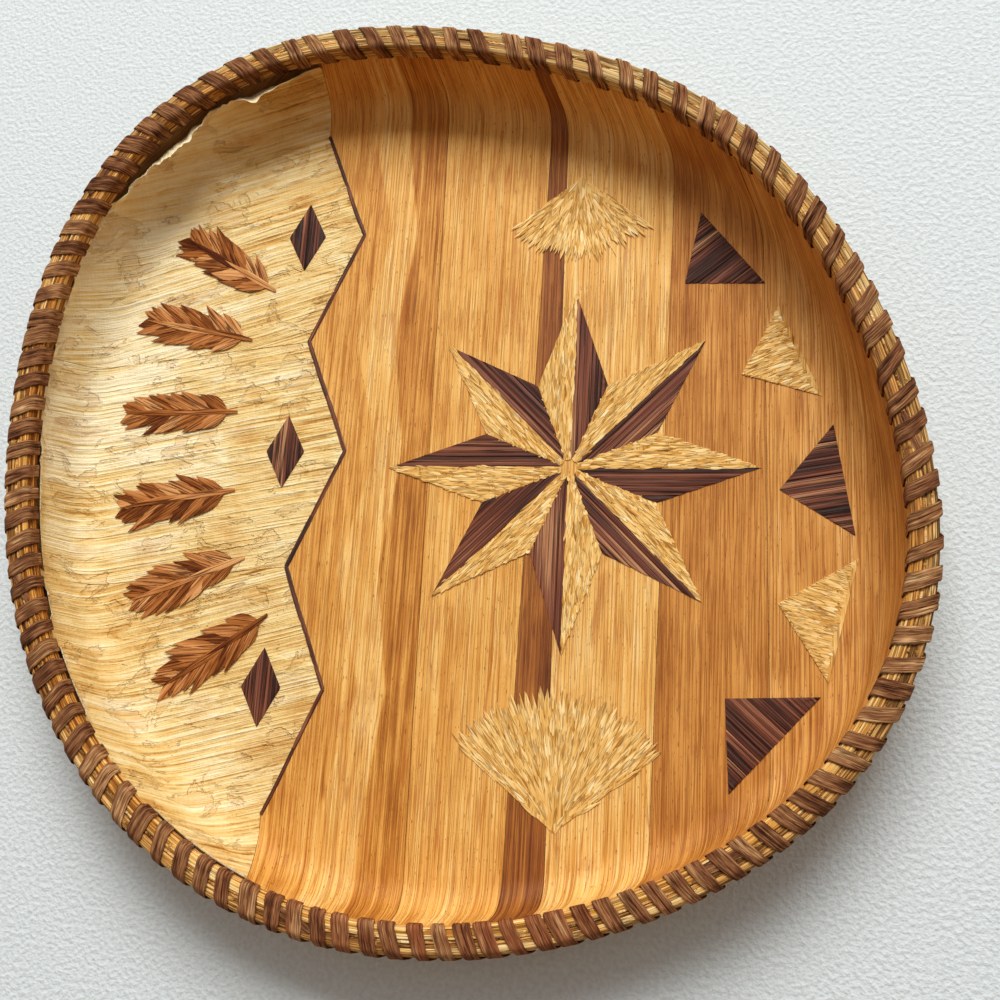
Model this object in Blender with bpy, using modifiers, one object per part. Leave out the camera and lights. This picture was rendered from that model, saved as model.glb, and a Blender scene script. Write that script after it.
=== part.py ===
"""Shallow basketry tray: a woven mat dish, a lashed rim and a lining of straw and veneer marquetry.

Metres, +Z up. The tray rests on z = 0 and the origin is the middle of its underside.
Every rim length is measured inwards from the outside of the lashed rim, and is called an inset.
"""
import math

import bmesh
import bpy
import numpy as np
from mathutils import Matrix, Vector

# Overall size and plan shape
MEAN_RADIUS = 0.1974
RIM_HEIGHT = 0.0420
# Each row is the number of waves round the plan, then its cosine and sine share of the radius
OVAL_SHARES = ((2, -0.0068, -0.0546), (3, 0.0216, -0.0012), (4, -0.0151, -0.0040), (5, -0.0022, -0.0080))
OUTLINE_STEPS = 84
TABLE_STEPS = 2400

# Fit between pieces that touch on the real tray
CLEARANCE = 0.0003
CUT_OVERRUN = 0.0200

# Rim: two hoops that pinch the mat edge, whipped with flat bark strips
HOOP_HEIGHT = 0.0090
INNER_HOOP_WIDTH = 0.0042
OUTER_HOOP_WIDTH = 0.0046
OUTER_SPLINTS = 3
HOOP_EDGE = 0.0012
SHOULDER_EDGE = 0.0022
LASH_WIDTH = 0.0064
LASH_THICKNESS = 0.0006
LASH_STRIPS = 6
TURNS_PER_STRIP = 18
# How much wider a 45 degree chamfer gets, as a share of the gap that its section grows outwards by
CHAMFER_GROWTH_SHARE = 2 - math.sqrt(2)

# Woven dish
MAT_THICKNESS = 0.0018
MAT_EDGE_DROP = 0.0010
WALL_RUN = 0.0040
BEND_RADIUS = 0.0150
BEND_STEPS = 3

# Lining of ground sheets, then the marquetry pieces on top of it
LINING_THICKNESS = 0.0005
LINING_MARGIN = 0.0006
MOTIF_THICKNESS = 0.0005

# Ground sheets: husk on the left of a zigzag, upright veneers on the right of it.
# Places across the plan are shares of the mean radius, from the middle of the tray.
ZIGZAG_PLACE_SHARE = -0.314
ZIGZAG_DEPTH = 0.0110
ZIGZAG_LEGS = 6
ZIGZAG_STRIP_WIDTH = 0.0020
ZIGZAG_MARGIN = 0.0050
HUSK_SLANT = 0.0160
VENEER_SEAM_SHARES = (-0.061, 0.167, 0.228, 0.456, 0.669)
SEAM_LEAN = 0.0030

# Sawtooth border inside the right-hand wall
BORDER_TEETH = 5
BORDER_SPREAD = math.radians(80.0)
BORDER_GAP = 0.0090
BORDER_DEPTH = 0.0260
BORDER_MARGIN = 0.0045

# Straw fans above and below the star, each as wide as the room beside the border lets it be
FAN_GAP = 0.0170
FAN_SPREAD = math.radians(104.0)
FAN_MARGIN = 0.0150
FAN_SLITS = 13
FAN_TOOTH = 0.0060

# Star of eight points, each split down its middle. It stands halfway between the fans and fills
# the room beside the border.
STAR_POINTS = 8
STAR_PLACE_SHARE = 0.2535
STAR_GAP = 0.0072
STAR_WAIST_SHARE = 0.5
STAR_EYE = 0.0035

# Feather-cut leaves on the husk, from the foot of the wall to a gap from the zigzag
LEAF_COUNT = 6
LEAF_FIRST_TURN = math.radians(142.0)
LEAF_LAST_TURN = math.radians(218.0)
LEAF_ROOT_GAP = 0.0300
LEAF_WIDTH_SHARE = 0.5
LEAF_TEETH = 6
LEAF_NOTCH_SHARE = 0.45
LEAF_HOOK_SHARE = 0.04
LEAF_BULGE = 0.75
LEAF_STALK = 0.0030
LEAF_MARGIN = 0.0080

# Lozenges in the hollows of the zigzag
LOZENGE_LENGTH = 0.0340
LOZENGE_WIDTH = 0.0180
LOZENGE_GAP = 0.0190

# Colours of the materials, as sRGB values
HUSK = 0xDDB777
TAN_VENEER = 0xC4823C
ORANGE_VENEER = 0xB06F35
BROWN_VENEER = 0x79390C
STRAW = 0xE0AF66
DARK_BARK = 0x593322
LEAF_BROWN = 0x9B5F36
OUTLINE_BROWN = 0x3E2316
CANE = 0xC98A45
SPLINT = 0x9C7B4A
LASHING = 0x6A4433
MAT_CANE = 0xB9884C


def linear_colour(value):
    """Turn an sRGB hex value into the linear colour that a material holds."""
    channels = [((value >> shift) & 255) / 255 for shift in (16, 8, 0)]
    return [c / 12.92 if c <= 0.04045 else ((c + 0.055) / 1.055) ** 2.4 for c in channels] + [1.0]


def finish(piece, colour, roughness):
    """Give a piece a material of its own."""
    material = bpy.data.materials.new(piece.name + "_finish")
    material.use_nodes = True
    shader = material.node_tree.nodes["Principled BSDF"]
    shader.inputs["Base Color"].default_value = linear_colour(colour)
    shader.inputs["Roughness"].default_value = roughness
    shader.inputs["Metallic"].default_value = 0.0
    piece.data.materials.clear()
    piece.data.materials.append(material)
    return piece


def wave_outline(turns):
    """Outside of the rim at each angle, as plan points and outward normals.

    The radius is the mean radius times one plus a short row of waves round the plan.
    """
    radius = np.ones_like(turns)
    slope = np.zeros_like(turns)
    for waves, cosine, sine in OVAL_SHARES:
        radius += cosine * np.cos(waves * turns) + sine * np.sin(waves * turns)
        slope += waves * (sine * np.cos(waves * turns) - cosine * np.sin(waves * turns))
    outward = np.stack([np.cos(turns), np.sin(turns)], axis=1)
    sideways = np.stack([-np.sin(turns), np.cos(turns)], axis=1)
    tangents = slope[:, None] * outward + radius[:, None] * sideways
    tangents /= np.linalg.norm(tangents, axis=1)[:, None]
    normals = np.stack([tangents[:, 1], -tangents[:, 0]], axis=1)
    return MEAN_RADIUS * radius[:, None] * outward, normals


TABLE_TURNS = np.linspace(0.0, 2.0 * math.pi, TABLE_STEPS + 1)
TABLE_POINTS = wave_outline(TABLE_TURNS)[0]
TABLE_LENGTHS = np.concatenate(
    [[0.0], np.cumsum(np.linalg.norm(np.diff(TABLE_POINTS, axis=0), axis=1))])
RIM_LENGTH = TABLE_LENGTHS[-1]
PLAN_MIDDLE = (TABLE_POINTS.min(axis=0) + TABLE_POINTS.max(axis=0)) / 2


def rim_at(lengths):
    """Plan points and outward normals at these lengths along the outside of the rim."""
    turns = np.interp(np.asarray(lengths) % RIM_LENGTH, TABLE_LENGTHS, TABLE_TURNS)
    points, normals = wave_outline(turns)
    return points - PLAN_MIDDLE, normals


def rim_towards(turn):
    """Plan point and outward normal of the rim in one direction from the middle."""
    points, normals = rim_at(np.linspace(0.0, RIM_LENGTH, TABLE_STEPS, endpoint=False))
    angles = np.arctan2(points[:, 1], points[:, 0])
    nearest = np.argmin(np.abs(np.angle(np.exp(1j * (angles - turn)))))
    return points[nearest], normals[nearest]


def ring(inset, height):
    """The rim's outline moved inwards by the inset, at one height."""
    points, normals = rim_at(RIM_LENGTH * np.arange(OUTLINE_STEPS) / OUTLINE_STEPS)
    plan = points - inset * normals
    return np.column_stack([plan, np.full(len(plan), height)])


def new_piece(name, mesh, collection):
    piece = bpy.data.objects.new(name, mesh)
    collection.objects.link(piece)
    return piece


def loft(name, rings, around, capped, closed):
    """Mesh of quads between neighbouring rings, which all hold the same number of points.

    around joins each ring's last point to its first, closed joins the last ring to the first,
    and capped fills the given end rings with one face each.
    """
    steps = len(rings[0])
    mesh = bpy.data.meshes.new(name)
    shape = bmesh.new()
    rows = [[shape.verts.new(point) for point in points] for points in rings]
    if closed:
        rows.append(rows[0])
    for near, far in zip(rows, rows[1:]):
        for step in range(steps if around else steps - 1):
            beside = (step + 1) % steps
            shape.faces.new((near[step], near[beside], far[beside], far[step]))
    for end in capped:
        shape.faces.new(rows[end] if end else rows[end][::-1])
    if closed or len(capped) == 2:
        bmesh.ops.recalc_face_normals(shape, faces=shape.faces)
    shape.to_mesh(mesh)
    shape.free()
    return mesh


# Places across the rim, worked out from the pieces that fill it
OUTER_HOOP_INSET = LASH_THICKNESS + CLEARANCE
MAT_INSET = OUTER_HOOP_INSET + OUTER_HOOP_WIDTH + CLEARANCE
INNER_HOOP_INSET = MAT_INSET + MAT_THICKNESS + CLEARANCE
HOOP_END_INSET = INNER_HOOP_INSET + INNER_HOOP_WIDTH
HOOP_TOP = RIM_HEIGHT - LASH_THICKNESS - CLEARANCE
HOOP_FOOT = HOOP_TOP - HOOP_HEIGHT
SLOT_TOP = HOOP_FOOT
SLOT_FOOT = HOOP_FOOT - LASH_THICKNESS - 2 * CLEARANCE
WALL_KINK = SLOT_FOOT - CLEARANCE
LINING_TOP = WALL_KINK - LINING_MARGIN
WALL_TILT = math.atan2(WALL_RUN, WALL_KINK - BEND_RADIUS)
BEND_INSET = MAT_INSET + (BEND_RADIUS - (BEND_RADIUS - WALL_KINK) * math.sin(WALL_TILT)) / math.cos(WALL_TILT)
LINING_LIFT = MAT_THICKNESS + CLEARANCE
MOTIF_FLOOR = LINING_LIFT + LINING_THICKNESS + CLEARANCE


def dish_surface(name, lift, top):
    """Open dish at one distance above the mat's underside, from its top edge to its floor.

    Below the hoops the wall leans in at one slope, then bends through an arc to the flat floor.
    """
    rings = []
    kink = WALL_KINK + lift * math.tan(WALL_TILT / 2)
    if top > kink:
        rings += [ring(MAT_INSET + lift, top), ring(MAT_INSET + lift, kink)]
    else:
        lean = (lift + (WALL_KINK - top) * math.sin(WALL_TILT)) / math.cos(WALL_TILT)
        rings.append(ring(MAT_INSET + lean, top))
    for step in range(BEND_STEPS + 1):
        turn = WALL_TILT + (math.pi / 2 - WALL_TILT) * step / BEND_STEPS
        radius = BEND_RADIUS - lift
        rings.append(ring(BEND_INSET - radius * math.cos(turn), BEND_RADIUS - radius * math.sin(turn)))
    mesh = loft(name, rings, around=True, capped=(), closed=False)
    shape = bmesh.new()
    shape.from_mesh(mesh)
    shape.verts.ensure_lookup_table()
    shape.faces.new([shape.verts[-OUTLINE_STEPS + step] for step in range(OUTLINE_STEPS)])
    bmesh.ops.recalc_face_normals(shape, faces=shape.faces)
    lowest = min(shape.faces, key=lambda face: face.calc_center_median().z)
    if lowest.normal.z > 0:
        bmesh.ops.reverse_faces(shape, faces=shape.faces)
    shape.to_mesh(mesh)
    shape.free()
    return mesh


def thicken(piece, thickness):
    """Grow an open surface inwards, away from the underside it was drawn on."""
    wall = piece.modifiers.new("wall", "SOLIDIFY")
    wall.thickness = thickness
    wall.offset = -1.0
    wall.use_even_offset = True


def cut(piece, cutter, operation):
    change = piece.modifiers.new("cut", "BOOLEAN")
    change.operation = operation
    change.solver = "EXACT"
    change.object = cutter


def hoop(name, section, tray):
    """Closed hoop: one section of inset and height carried round the rim."""
    rings = [ring(inset, height) for inset, height in section]
    return new_piece(name, loft(name, rings, around=True, capped=(), closed=True), tray)


def flat_curve(name, outline, foot, thickness, collection):
    """Flat piece cut to an outline: a filled plan curve, extruded to its thickness."""
    curve = bpy.data.curves.new(name, "CURVE")
    curve.dimensions = "2D"
    curve.fill_mode = "BOTH"
    curve.extrude = thickness / 2
    spline = curve.splines.new("POLY")
    spline.points.add(len(outline) - 1)
    for point, (x, y) in zip(spline.points, outline):
        point.co = (x, y, 0.0, 1.0)
    spline.use_cyclic_u = True
    piece = bpy.data.objects.new(name, curve)
    piece.location.z = foot + thickness / 2
    collection.objects.link(piece)
    return piece


def flat_mesh(name, outline, foot, thickness, collection):
    """The same flat piece as a welded mesh, which can cut or be cut."""
    source = flat_curve(name + "_plan", outline, foot, thickness, collection)
    bpy.context.view_layer.update()
    mesh = bpy.data.meshes.new_from_object(source.evaluated_get(bpy.context.evaluated_depsgraph_get()))
    shape = bmesh.new()
    shape.from_mesh(mesh)
    bmesh.ops.remove_doubles(shape, verts=shape.verts, dist=CLEARANCE / 10)
    bmesh.ops.recalc_face_normals(shape, faces=shape.faces)
    shape.to_mesh(mesh)
    shape.free()
    piece = new_piece(name, mesh, collection)
    piece.matrix_world = source.matrix_world
    bpy.data.objects.remove(source)
    return piece


def shrunk(outline, margin):
    """A convex outline, given anticlockwise, with every edge moved inwards by the margin."""
    count = len(outline)
    points = [Vector(point) for point in outline]
    edges = []
    for near, far in zip(points, points[1:] + points[:1]):
        along = (far - near).normalized()
        edges.append((near + margin * Vector((-along.y, along.x)), along))
    result = []
    for index in range(count):
        (base, along), (other, across) = edges[index - 1], edges[index]
        gap = other - base
        reach = (gap.x * across.y - gap.y * across.x) / (along.x * across.y - along.y * across.x)
        result.append(tuple(base + reach * along))
    return result


def placed(outline, origin, direction):
    """Turn an outline drawn along +X to point along a direction, and move it to its origin."""
    unit = np.asarray(direction) / np.linalg.norm(direction)
    side = np.array([-unit[1], unit[0]])
    return [tuple(np.asarray(origin) + x * unit + y * side) for x, y in outline]


def lashing_section(gap):
    """Eight corners of a path round both hoops, at one gap outside them.

    It starts under the outer hoop, runs in below, up the inside, over the top and down the outside.
    """
    low = OUTER_HOOP_INSET - gap
    high = HOOP_END_INSET + gap
    foot = HOOP_FOOT - gap
    top = HOOP_TOP + gap
    edge = HOOP_EDGE + CHAMFER_GROWTH_SHARE * gap
    shoulder = SHOULDER_EDGE + CHAMFER_GROWTH_SHARE * gap
    return np.array([
        (low + edge, foot), (high - edge, foot), (high, foot + edge), (high, top - edge),
        (high - edge, top), (low + shoulder, top), (low, top - shoulder), (low, foot + edge)])


LASH_PITCH = RIM_LENGTH / (LASH_STRIPS * TURNS_PER_STRIP)
LASH_PATH = lashing_section(CLEARANCE)
LASH_LEGS = np.linalg.norm(np.roll(LASH_PATH, -1, axis=0) - LASH_PATH, axis=1)
LASH_SHARES = np.concatenate([[0.0], np.cumsum(LASH_LEGS)[:-1]]) / LASH_LEGS.sum()


def lashing_strip(number, tray):
    """One bark strip wound round the rim as a flat helix that never touches itself."""
    corners = len(LASH_PATH)
    steps = np.arange(corners * TURNS_PER_STRIP)
    turns = steps // corners + LASH_SHARES[steps % corners]
    points, normals = rim_at(LASH_PITCH * (number * TURNS_PER_STRIP + turns))
    tangents = np.column_stack([-normals[:, 1], normals[:, 0]])
    faces = []
    for gap in (CLEARANCE, CLEARANCE + LASH_THICKNESS):
        section = lashing_section(gap)[steps % corners]
        centre = points - section[:, :1] * normals
        for side in (-LASH_WIDTH / 2, LASH_WIDTH / 2):
            faces.append(np.column_stack([centre + side * tangents, section[:, 1]]))
    rings = np.stack([faces[0], faces[1], faces[3], faces[2]], axis=1)
    name = "lashing_strip_%d" % (number + 1)
    mesh = loft(name, rings, around=True, capped=(0, -1), closed=False)
    nearby = np.linalg.norm(rings[corners:, None, :, None] - rings[:-corners, None, None, :], axis=-1)
    print(name, "least gap to itself %.2f mm" % (1000 * nearby.min()))
    return new_piece(name, mesh, tray)


def lashing_slots(cutters):
    """Cutter for the slits that let each turn of the lashing through the mat."""
    start, end = LASH_PATH[0, 0], LASH_PATH[1, 0]
    middle = (MAT_INSET + MAT_THICKNESS / 2 - start) / (end - start)
    depth = MAT_THICKNESS + 2 * CLEARANCE
    drift = LASH_PITCH * LASH_SHARES[1] * depth / (end - start)
    turns = np.arange(LASH_STRIPS * TURNS_PER_STRIP)
    points, normals = rim_at(LASH_PITCH * (turns + middle * LASH_SHARES[1]))
    centres = points - (MAT_INSET + MAT_THICKNESS / 2) * normals
    shape = bmesh.new()
    for centre, normal in zip(centres, normals):
        height = (SLOT_FOOT + SLOT_TOP) / 2
        place = Matrix.Translation((centre[0], centre[1], height))
        turn = Matrix.Rotation(math.atan2(normal[1], normal[0]), 4, "Z")
        size = Matrix.Diagonal((depth, LASH_WIDTH + 2 * CLEARANCE + drift, SLOT_TOP - SLOT_FOOT, 1.0))
        bmesh.ops.create_cube(shape, size=1.0, matrix=place @ turn @ size)
    mesh = bpy.data.meshes.new("slot_cutter")
    shape.to_mesh(mesh)
    shape.free()
    return new_piece("slot_cutter", mesh, cutters)


def floor_end(across, side, margin):
    """Where a line straight up the plan comes this near to the foot of the wall, on one side."""
    points, normals = rim_at(np.linspace(0.0, RIM_LENGTH, TABLE_STEPS, endpoint=False))
    edge = points - (BEND_INSET + margin) * normals
    edge = edge[edge[:, 1] * side > 0]
    return float(edge[np.argmin(np.abs(edge[:, 0] - across)), 1])


def zigzag_line():
    """Corners of the zigzag, in even steps from the lower wall's foot to the upper one's."""
    middle = MEAN_RADIUS * ZIGZAG_PLACE_SHARE
    foot, head = (floor_end(middle - ZIGZAG_DEPTH, side, ZIGZAG_MARGIN) for side in (-1, 1))
    corners = []
    for leg in range(ZIGZAG_LEGS + 1):
        side = 1 if leg % 2 else -1
        corners.append((middle + side * ZIGZAG_DEPTH, foot + (head - foot) * leg / ZIGZAG_LEGS))
    return corners


def make_rim(tray):
    inner = (
        (INNER_HOOP_INSET, HOOP_FOOT), (INNER_HOOP_INSET, HOOP_TOP),
        (HOOP_END_INSET - HOOP_EDGE, HOOP_TOP), (HOOP_END_INSET, HOOP_TOP - HOOP_EDGE),
        (HOOP_END_INSET, HOOP_FOOT + HOOP_EDGE), (HOOP_END_INSET - HOOP_EDGE, HOOP_FOOT))
    finish(hoop("inner_rim_hoop", inner, tray), CANE, 0.45)
    outside = OUTER_HOOP_INSET
    inside = OUTER_HOOP_INSET + OUTER_HOOP_WIDTH
    splint = (HOOP_HEIGHT - (OUTER_SPLINTS - 1) * CLEARANCE) / OUTER_SPLINTS
    for number in range(OUTER_SPLINTS):
        foot = HOOP_FOOT + number * (splint + CLEARANCE)
        top = foot + splint
        section = [(inside, foot), (inside, top)]
        if number == OUTER_SPLINTS - 1:
            section += [(outside + SHOULDER_EDGE, top), (outside, top - SHOULDER_EDGE)]
        else:
            section.append((outside, top))
        if number == 0:
            section += [(outside, foot + HOOP_EDGE), (outside + HOOP_EDGE, foot)]
        else:
            section.append((outside, foot))
        finish(hoop("outer_rim_splint_%d" % (number + 1), section, tray), SPLINT, 0.75)
    for number in range(LASH_STRIPS):
        finish(lashing_strip(number, tray), LASHING, 0.6)


def make_mat(tray, cutters):
    mat = new_piece("woven_mat_base", dish_surface("woven_mat_base", 0.0, HOOP_TOP - MAT_EDGE_DROP), tray)
    thicken(mat, MAT_THICKNESS)
    cut(mat, lashing_slots(cutters), "DIFFERENCE")
    finish(mat, MAT_CANE, 0.65)


def ground_sheet(name, plan, colour, roughness, tray, cutters):
    """One sheet of the lining: the dish above the mat, kept only inside its plan."""
    sheet = new_piece(name, dish_surface(name, LINING_LIFT, LINING_TOP), tray)
    thicken(sheet, LINING_THICKNESS)
    keeper = flat_mesh(name + "_keeper", plan, -CUT_OVERRUN, RIM_HEIGHT + 2 * CUT_OVERRUN, cutters)
    cut(sheet, keeper, "INTERSECT")
    finish(sheet, colour, roughness)


def make_lining(tray, cutters):
    reach = MEAN_RADIUS + CUT_OVERRUN
    gap = CLEARANCE / 2
    zigzag = zigzag_line()
    zigzag = [(zigzag[0][0], -reach)] + zigzag + [(zigzag[-1][0], reach)]
    left = [(x - gap, y) for x, y in zigzag]
    slant = HUSK_SLANT + gap
    splits = (0, 1 + ZIGZAG_LEGS // 3, 1 + 2 * ZIGZAG_LEGS // 3, ZIGZAG_LEGS + 2)
    for number in range(3):
        edge = left[splits[number]:splits[number + 1] + 1]
        low, high = edge[0], edge[-1]
        foot = slant if number else 0.0
        head = slant if number < 2 else 0.0
        if number:
            edge[0] = (low[0], low[1] + gap)
        if number < 2:
            edge[-1] = (high[0], high[1] - gap)
        plan = [(-reach, low[1] - foot + (2 * gap if number else 0.0))] + edge + [(-reach, high[1] - head)]
        ground_sheet("husk_sheet_%d" % (number + 1), plan, HUSK, 0.6, tray, cutters)
    edges = [[(x + gap, y) for x, y in zigzag]]
    for index, share in enumerate(VENEER_SEAM_SHARES):
        seam = MEAN_RADIUS * share
        lean = SEAM_LEAN if index % 2 else -SEAM_LEAN
        edges.append([(seam - lean, -reach), (seam + lean, reach)])
    edges.append([(reach, -reach), (reach, reach)])
    colours = (TAN_VENEER, TAN_VENEER, BROWN_VENEER, TAN_VENEER, ORANGE_VENEER, ORANGE_VENEER)
    for number, (near, far) in enumerate(zip(edges, edges[1:])):
        left_edge = [(x + (gap if number else 0.0), y) for x, y in near]
        right_edge = [(x - gap, y) for x, y in far]
        plan = left_edge + right_edge[::-1]
        ground_sheet("upright_veneer_%d" % (number + 1), plan, colours[number], 0.45, tray, cutters)


def motif(name, plan, colour, roughness, tray):
    piece = flat_curve(name, plan, MOTIF_FLOOR, MOTIF_THICKNESS, tray)
    finish(piece, colour, roughness)


def make_zigzag(tray):
    """Dark strips laid end to end over the seam between husk and veneer, mitred at each corner."""
    corners = [np.array(corner) for corner in zigzag_line()]
    half = ZIGZAG_STRIP_WIDTH / 2
    for number, (near, far) in enumerate(zip(corners, corners[1:])):
        along = (far - near) / np.linalg.norm(far - near)
        rise = half / along[1]
        trim = CLEARANCE / 2 / along[1]
        start, end = near + along * trim, far - along * trim
        plan = [(start[0] - rise, start[1]), (start[0] + rise, start[1]),
                (end[0] + rise, end[1]), (end[0] - rise, end[1])]
        motif("zigzag_strip_%d" % (number + 1), plan, OUTLINE_BROWN, 0.55, tray)


def border_base(number):
    """Middle of one border tooth's base, the outward normal there and half the base's width."""
    step = BORDER_SPREAD / (BORDER_TEETH - 1)
    point, normal = rim_towards(number * step - BORDER_SPREAD / 2)
    base = point - (BEND_INSET + BORDER_MARGIN) * normal
    return base, normal, np.linalg.norm(base) * math.sin(step / 2) - BORDER_GAP / 2


def fan_room(side):
    """Root of the fan above or below the star, and its radius up to a gap from the border's end."""
    middle = MEAN_RADIUS * STAR_PLACE_SHARE
    root = np.array([middle, floor_end(middle, side, FAN_MARGIN)])
    base, normal, half_base = border_base(BORDER_TEETH - 1 if side > 0 else 0)
    corner = base + side * half_base * np.array([-normal[1], normal[0]])
    return root, np.linalg.norm(corner - root) - FAN_GAP


def make_star(tray):
    """Each point is a kite from the eye to its tip, split down the middle into a light and a dark half."""
    step = 2 * math.pi / STAR_POINTS
    (upper, upper_radius), (lower, lower_radius) = fan_room(1), fan_room(-1)
    middle = Vector((upper[0], (upper[1] - upper_radius + lower[1] + lower_radius) / 2))
    base, normal, _ = border_base(BORDER_TEETH // 2)
    reach = (base - BORDER_DEPTH * normal)[0] - middle.x - STAR_GAP
    for number in range(STAR_POINTS):
        turn = number * step
        for side, word, colour in ((1, "light", STRAW), (-1, "dark", DARK_BARK)):
            along = Vector((math.cos(turn), math.sin(turn)))
            waist = Vector((math.cos(turn + side * step / 2), math.sin(turn + side * step / 2)))
            corners = [along * STAR_EYE, along * reach, waist * reach * STAR_WAIST_SHARE, waist * STAR_EYE]
            plan = [tuple(corner + middle) for corner in corners]
            plan = shrunk(plan if side > 0 else plan[::-1], CLEARANCE / 2)
            motif("star_%s_%d" % (word, number + 1), plan, colour, 0.5, tray)


def feather_leaf(length):
    """Pointed leaf along +X whose two sides are snipped into forward-pointing teeth.

    Each tooth's tip is hooked forward by a small share of the length, and the notch behind it back.
    """
    blade = length * LEAF_WIDTH_SHARE - LEAF_STALK
    side = [(0.0, LEAF_STALK / 2)]
    for tooth in range(1, LEAF_TEETH + 1):
        for place, depth_share, hook_share in (
                (tooth, 1, LEAF_HOOK_SHARE), (tooth + LEAF_NOTCH_SHARE, LEAF_NOTCH_SHARE, -LEAF_HOOK_SHARE)):
            along_share = place / (LEAF_TEETH + 1)
            swell = math.sin(math.pi * along_share) ** LEAF_BULGE
            side.append((length * (along_share + hook_share), (LEAF_STALK + depth_share * swell * blade) / 2))
    return [(x, -y) for x, y in side] + [(length, 0.0)] + side[::-1]


def make_leaves(tray):
    """Leaves that point at the wall all round the husk, as long as the room beside the zigzag allows."""
    point, normal = rim_towards(math.pi)
    tip = point - (BEND_INSET + LEAF_MARGIN) * normal
    length = zigzag_line()[0][0] - tip[0] - LEAF_ROOT_GAP
    for number in range(LEAF_COUNT):
        turn = LEAF_FIRST_TURN + (LEAF_LAST_TURN - LEAF_FIRST_TURN) * number / (LEAF_COUNT - 1)
        point, normal = rim_towards(turn)
        stalk = point - (BEND_INSET + LEAF_MARGIN + length) * normal
        plan = placed(feather_leaf(length), stalk, normal)
        motif("feather_leaf_%d" % (number + 1), plan, LEAF_BROWN, 0.6, tray)


def make_lozenges(tray):
    """One lozenge in each hollow of the zigzag that opens to the husk."""
    half_width, half_length = LOZENGE_WIDTH / 2, LOZENGE_LENGTH / 2
    outline = [(half_width, 0.0), (0.0, half_length), (-half_width, 0.0), (0.0, -half_length)]
    for number, (across, height) in enumerate(zigzag_line()[1::2]):
        middle = across - LOZENGE_GAP - half_width
        plan = [(x + middle, y + height) for x, y in outline]
        motif("lozenge_%d" % (number + 1), plan, DARK_BARK, 0.5, tray)


def make_border(tray):
    """Triangles standing on the foot of the right-hand wall, points inwards, light and dark in turn."""
    for number in range(BORDER_TEETH):
        base, normal, half_base = border_base(number)
        tooth = [(0.0, -half_base), (0.0, half_base), (-BORDER_DEPTH, 0.0)]
        colour = STRAW if number % 2 else DARK_BARK
        motif("border_tooth_%d" % (number + 1), placed(tooth, base, normal), colour, 0.5, tray)


def make_fans(tray):
    """Fans whose rounded edge is snipped into teeth, one above the star and one below."""
    for word, side in (("upper", 1), ("lower", -1)):
        root, reach = fan_room(side)
        edge = [(0.0, 0.0)]
        for step in range(2 * FAN_SLITS + 1):
            turn = FAN_SPREAD * (step / (2 * FAN_SLITS) - 0.5)
            radius = reach - (FAN_TOOTH if step % 2 else 0.0)
            edge.append((radius * math.cos(turn), radius * math.sin(turn)))
        motif("straw_fan_%s" % word, placed(edge, root, (0.0, -side)), STRAW, 0.5, tray)


def main():
    for thing in list(bpy.data.objects):
        bpy.data.objects.remove(thing)
    tray = bpy.data.collections.new("basketry_tray")
    cutters = bpy.data.collections.new("cutters")
    for collection in (tray, cutters):
        bpy.context.scene.collection.children.link(collection)
    make_mat(tray, cutters)
    make_rim(tray)
    make_lining(tray, cutters)
    make_zigzag(tray)
    make_star(tray)
    make_leaves(tray)
    make_lozenges(tray)
    make_border(tray)
    make_fans(tray)
    for cutter in cutters.objects:
        cutter.hide_render = True
        cutter.display_type = "WIRE"


main()
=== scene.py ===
"""Shallow basketry tray, dressed: plaited dish, whipped rim, and a lining of husk, veneer, straw and bark.

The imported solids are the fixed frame, and each piece here stands for one of them. Metres, +Z up.
An inset is a distance inwards from the outside of the lashed rim. Laid coordinates are the plan with the
wall pressed out flat, so that a sheet keeps its size and its grain where it bends up the wall.
"""

import math

import bpy
import numpy as np
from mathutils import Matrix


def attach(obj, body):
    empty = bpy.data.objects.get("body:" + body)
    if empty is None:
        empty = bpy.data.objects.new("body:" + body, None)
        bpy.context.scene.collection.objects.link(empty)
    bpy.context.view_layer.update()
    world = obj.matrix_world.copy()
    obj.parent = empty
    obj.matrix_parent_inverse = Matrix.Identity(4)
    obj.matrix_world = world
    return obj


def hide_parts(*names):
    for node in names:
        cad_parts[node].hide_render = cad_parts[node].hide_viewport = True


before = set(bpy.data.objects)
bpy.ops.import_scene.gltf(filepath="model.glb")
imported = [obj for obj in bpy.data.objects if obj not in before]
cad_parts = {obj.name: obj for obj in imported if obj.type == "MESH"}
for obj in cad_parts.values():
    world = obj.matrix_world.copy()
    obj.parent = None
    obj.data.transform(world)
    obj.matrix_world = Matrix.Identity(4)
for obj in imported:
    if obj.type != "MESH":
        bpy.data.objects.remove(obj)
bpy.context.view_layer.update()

# The frame's driving sizes, repeated. Each pair is the insets of a thing's outer and inner side.
MEAN_RADIUS = 0.1974
OVAL_SHARES = ((2, -0.0068, -0.0546), (3, 0.0216, -0.0012), (4, -0.0151, -0.0040), (5, -0.0022, -0.0080))
HOOP_HEIGHT = 0.0090
HOOP_TOP = 0.0411
HOOP_FOOT = HOOP_TOP - HOOP_HEIGHT
OUTER_HOOP = (0.0012, 0.0064)
INNER_HOOP = (0.0071, 0.0121)
LASHED = (0.0009, 0.0123)
LASH_TURNS = 108
LASH_STRIPS = 6
MAT_OUTSIDE = 0.0058
MAT_THICKNESS = 0.0018
WALL_KINK = 0.0306
WALL_LEAN = 0.0040
BEND_RADIUS = 0.0150
WALL_TILT = math.atan2(WALL_LEAN, WALL_KINK - BEND_RADIUS)
BEND_TURN = math.pi / 2 - WALL_TILT
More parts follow.
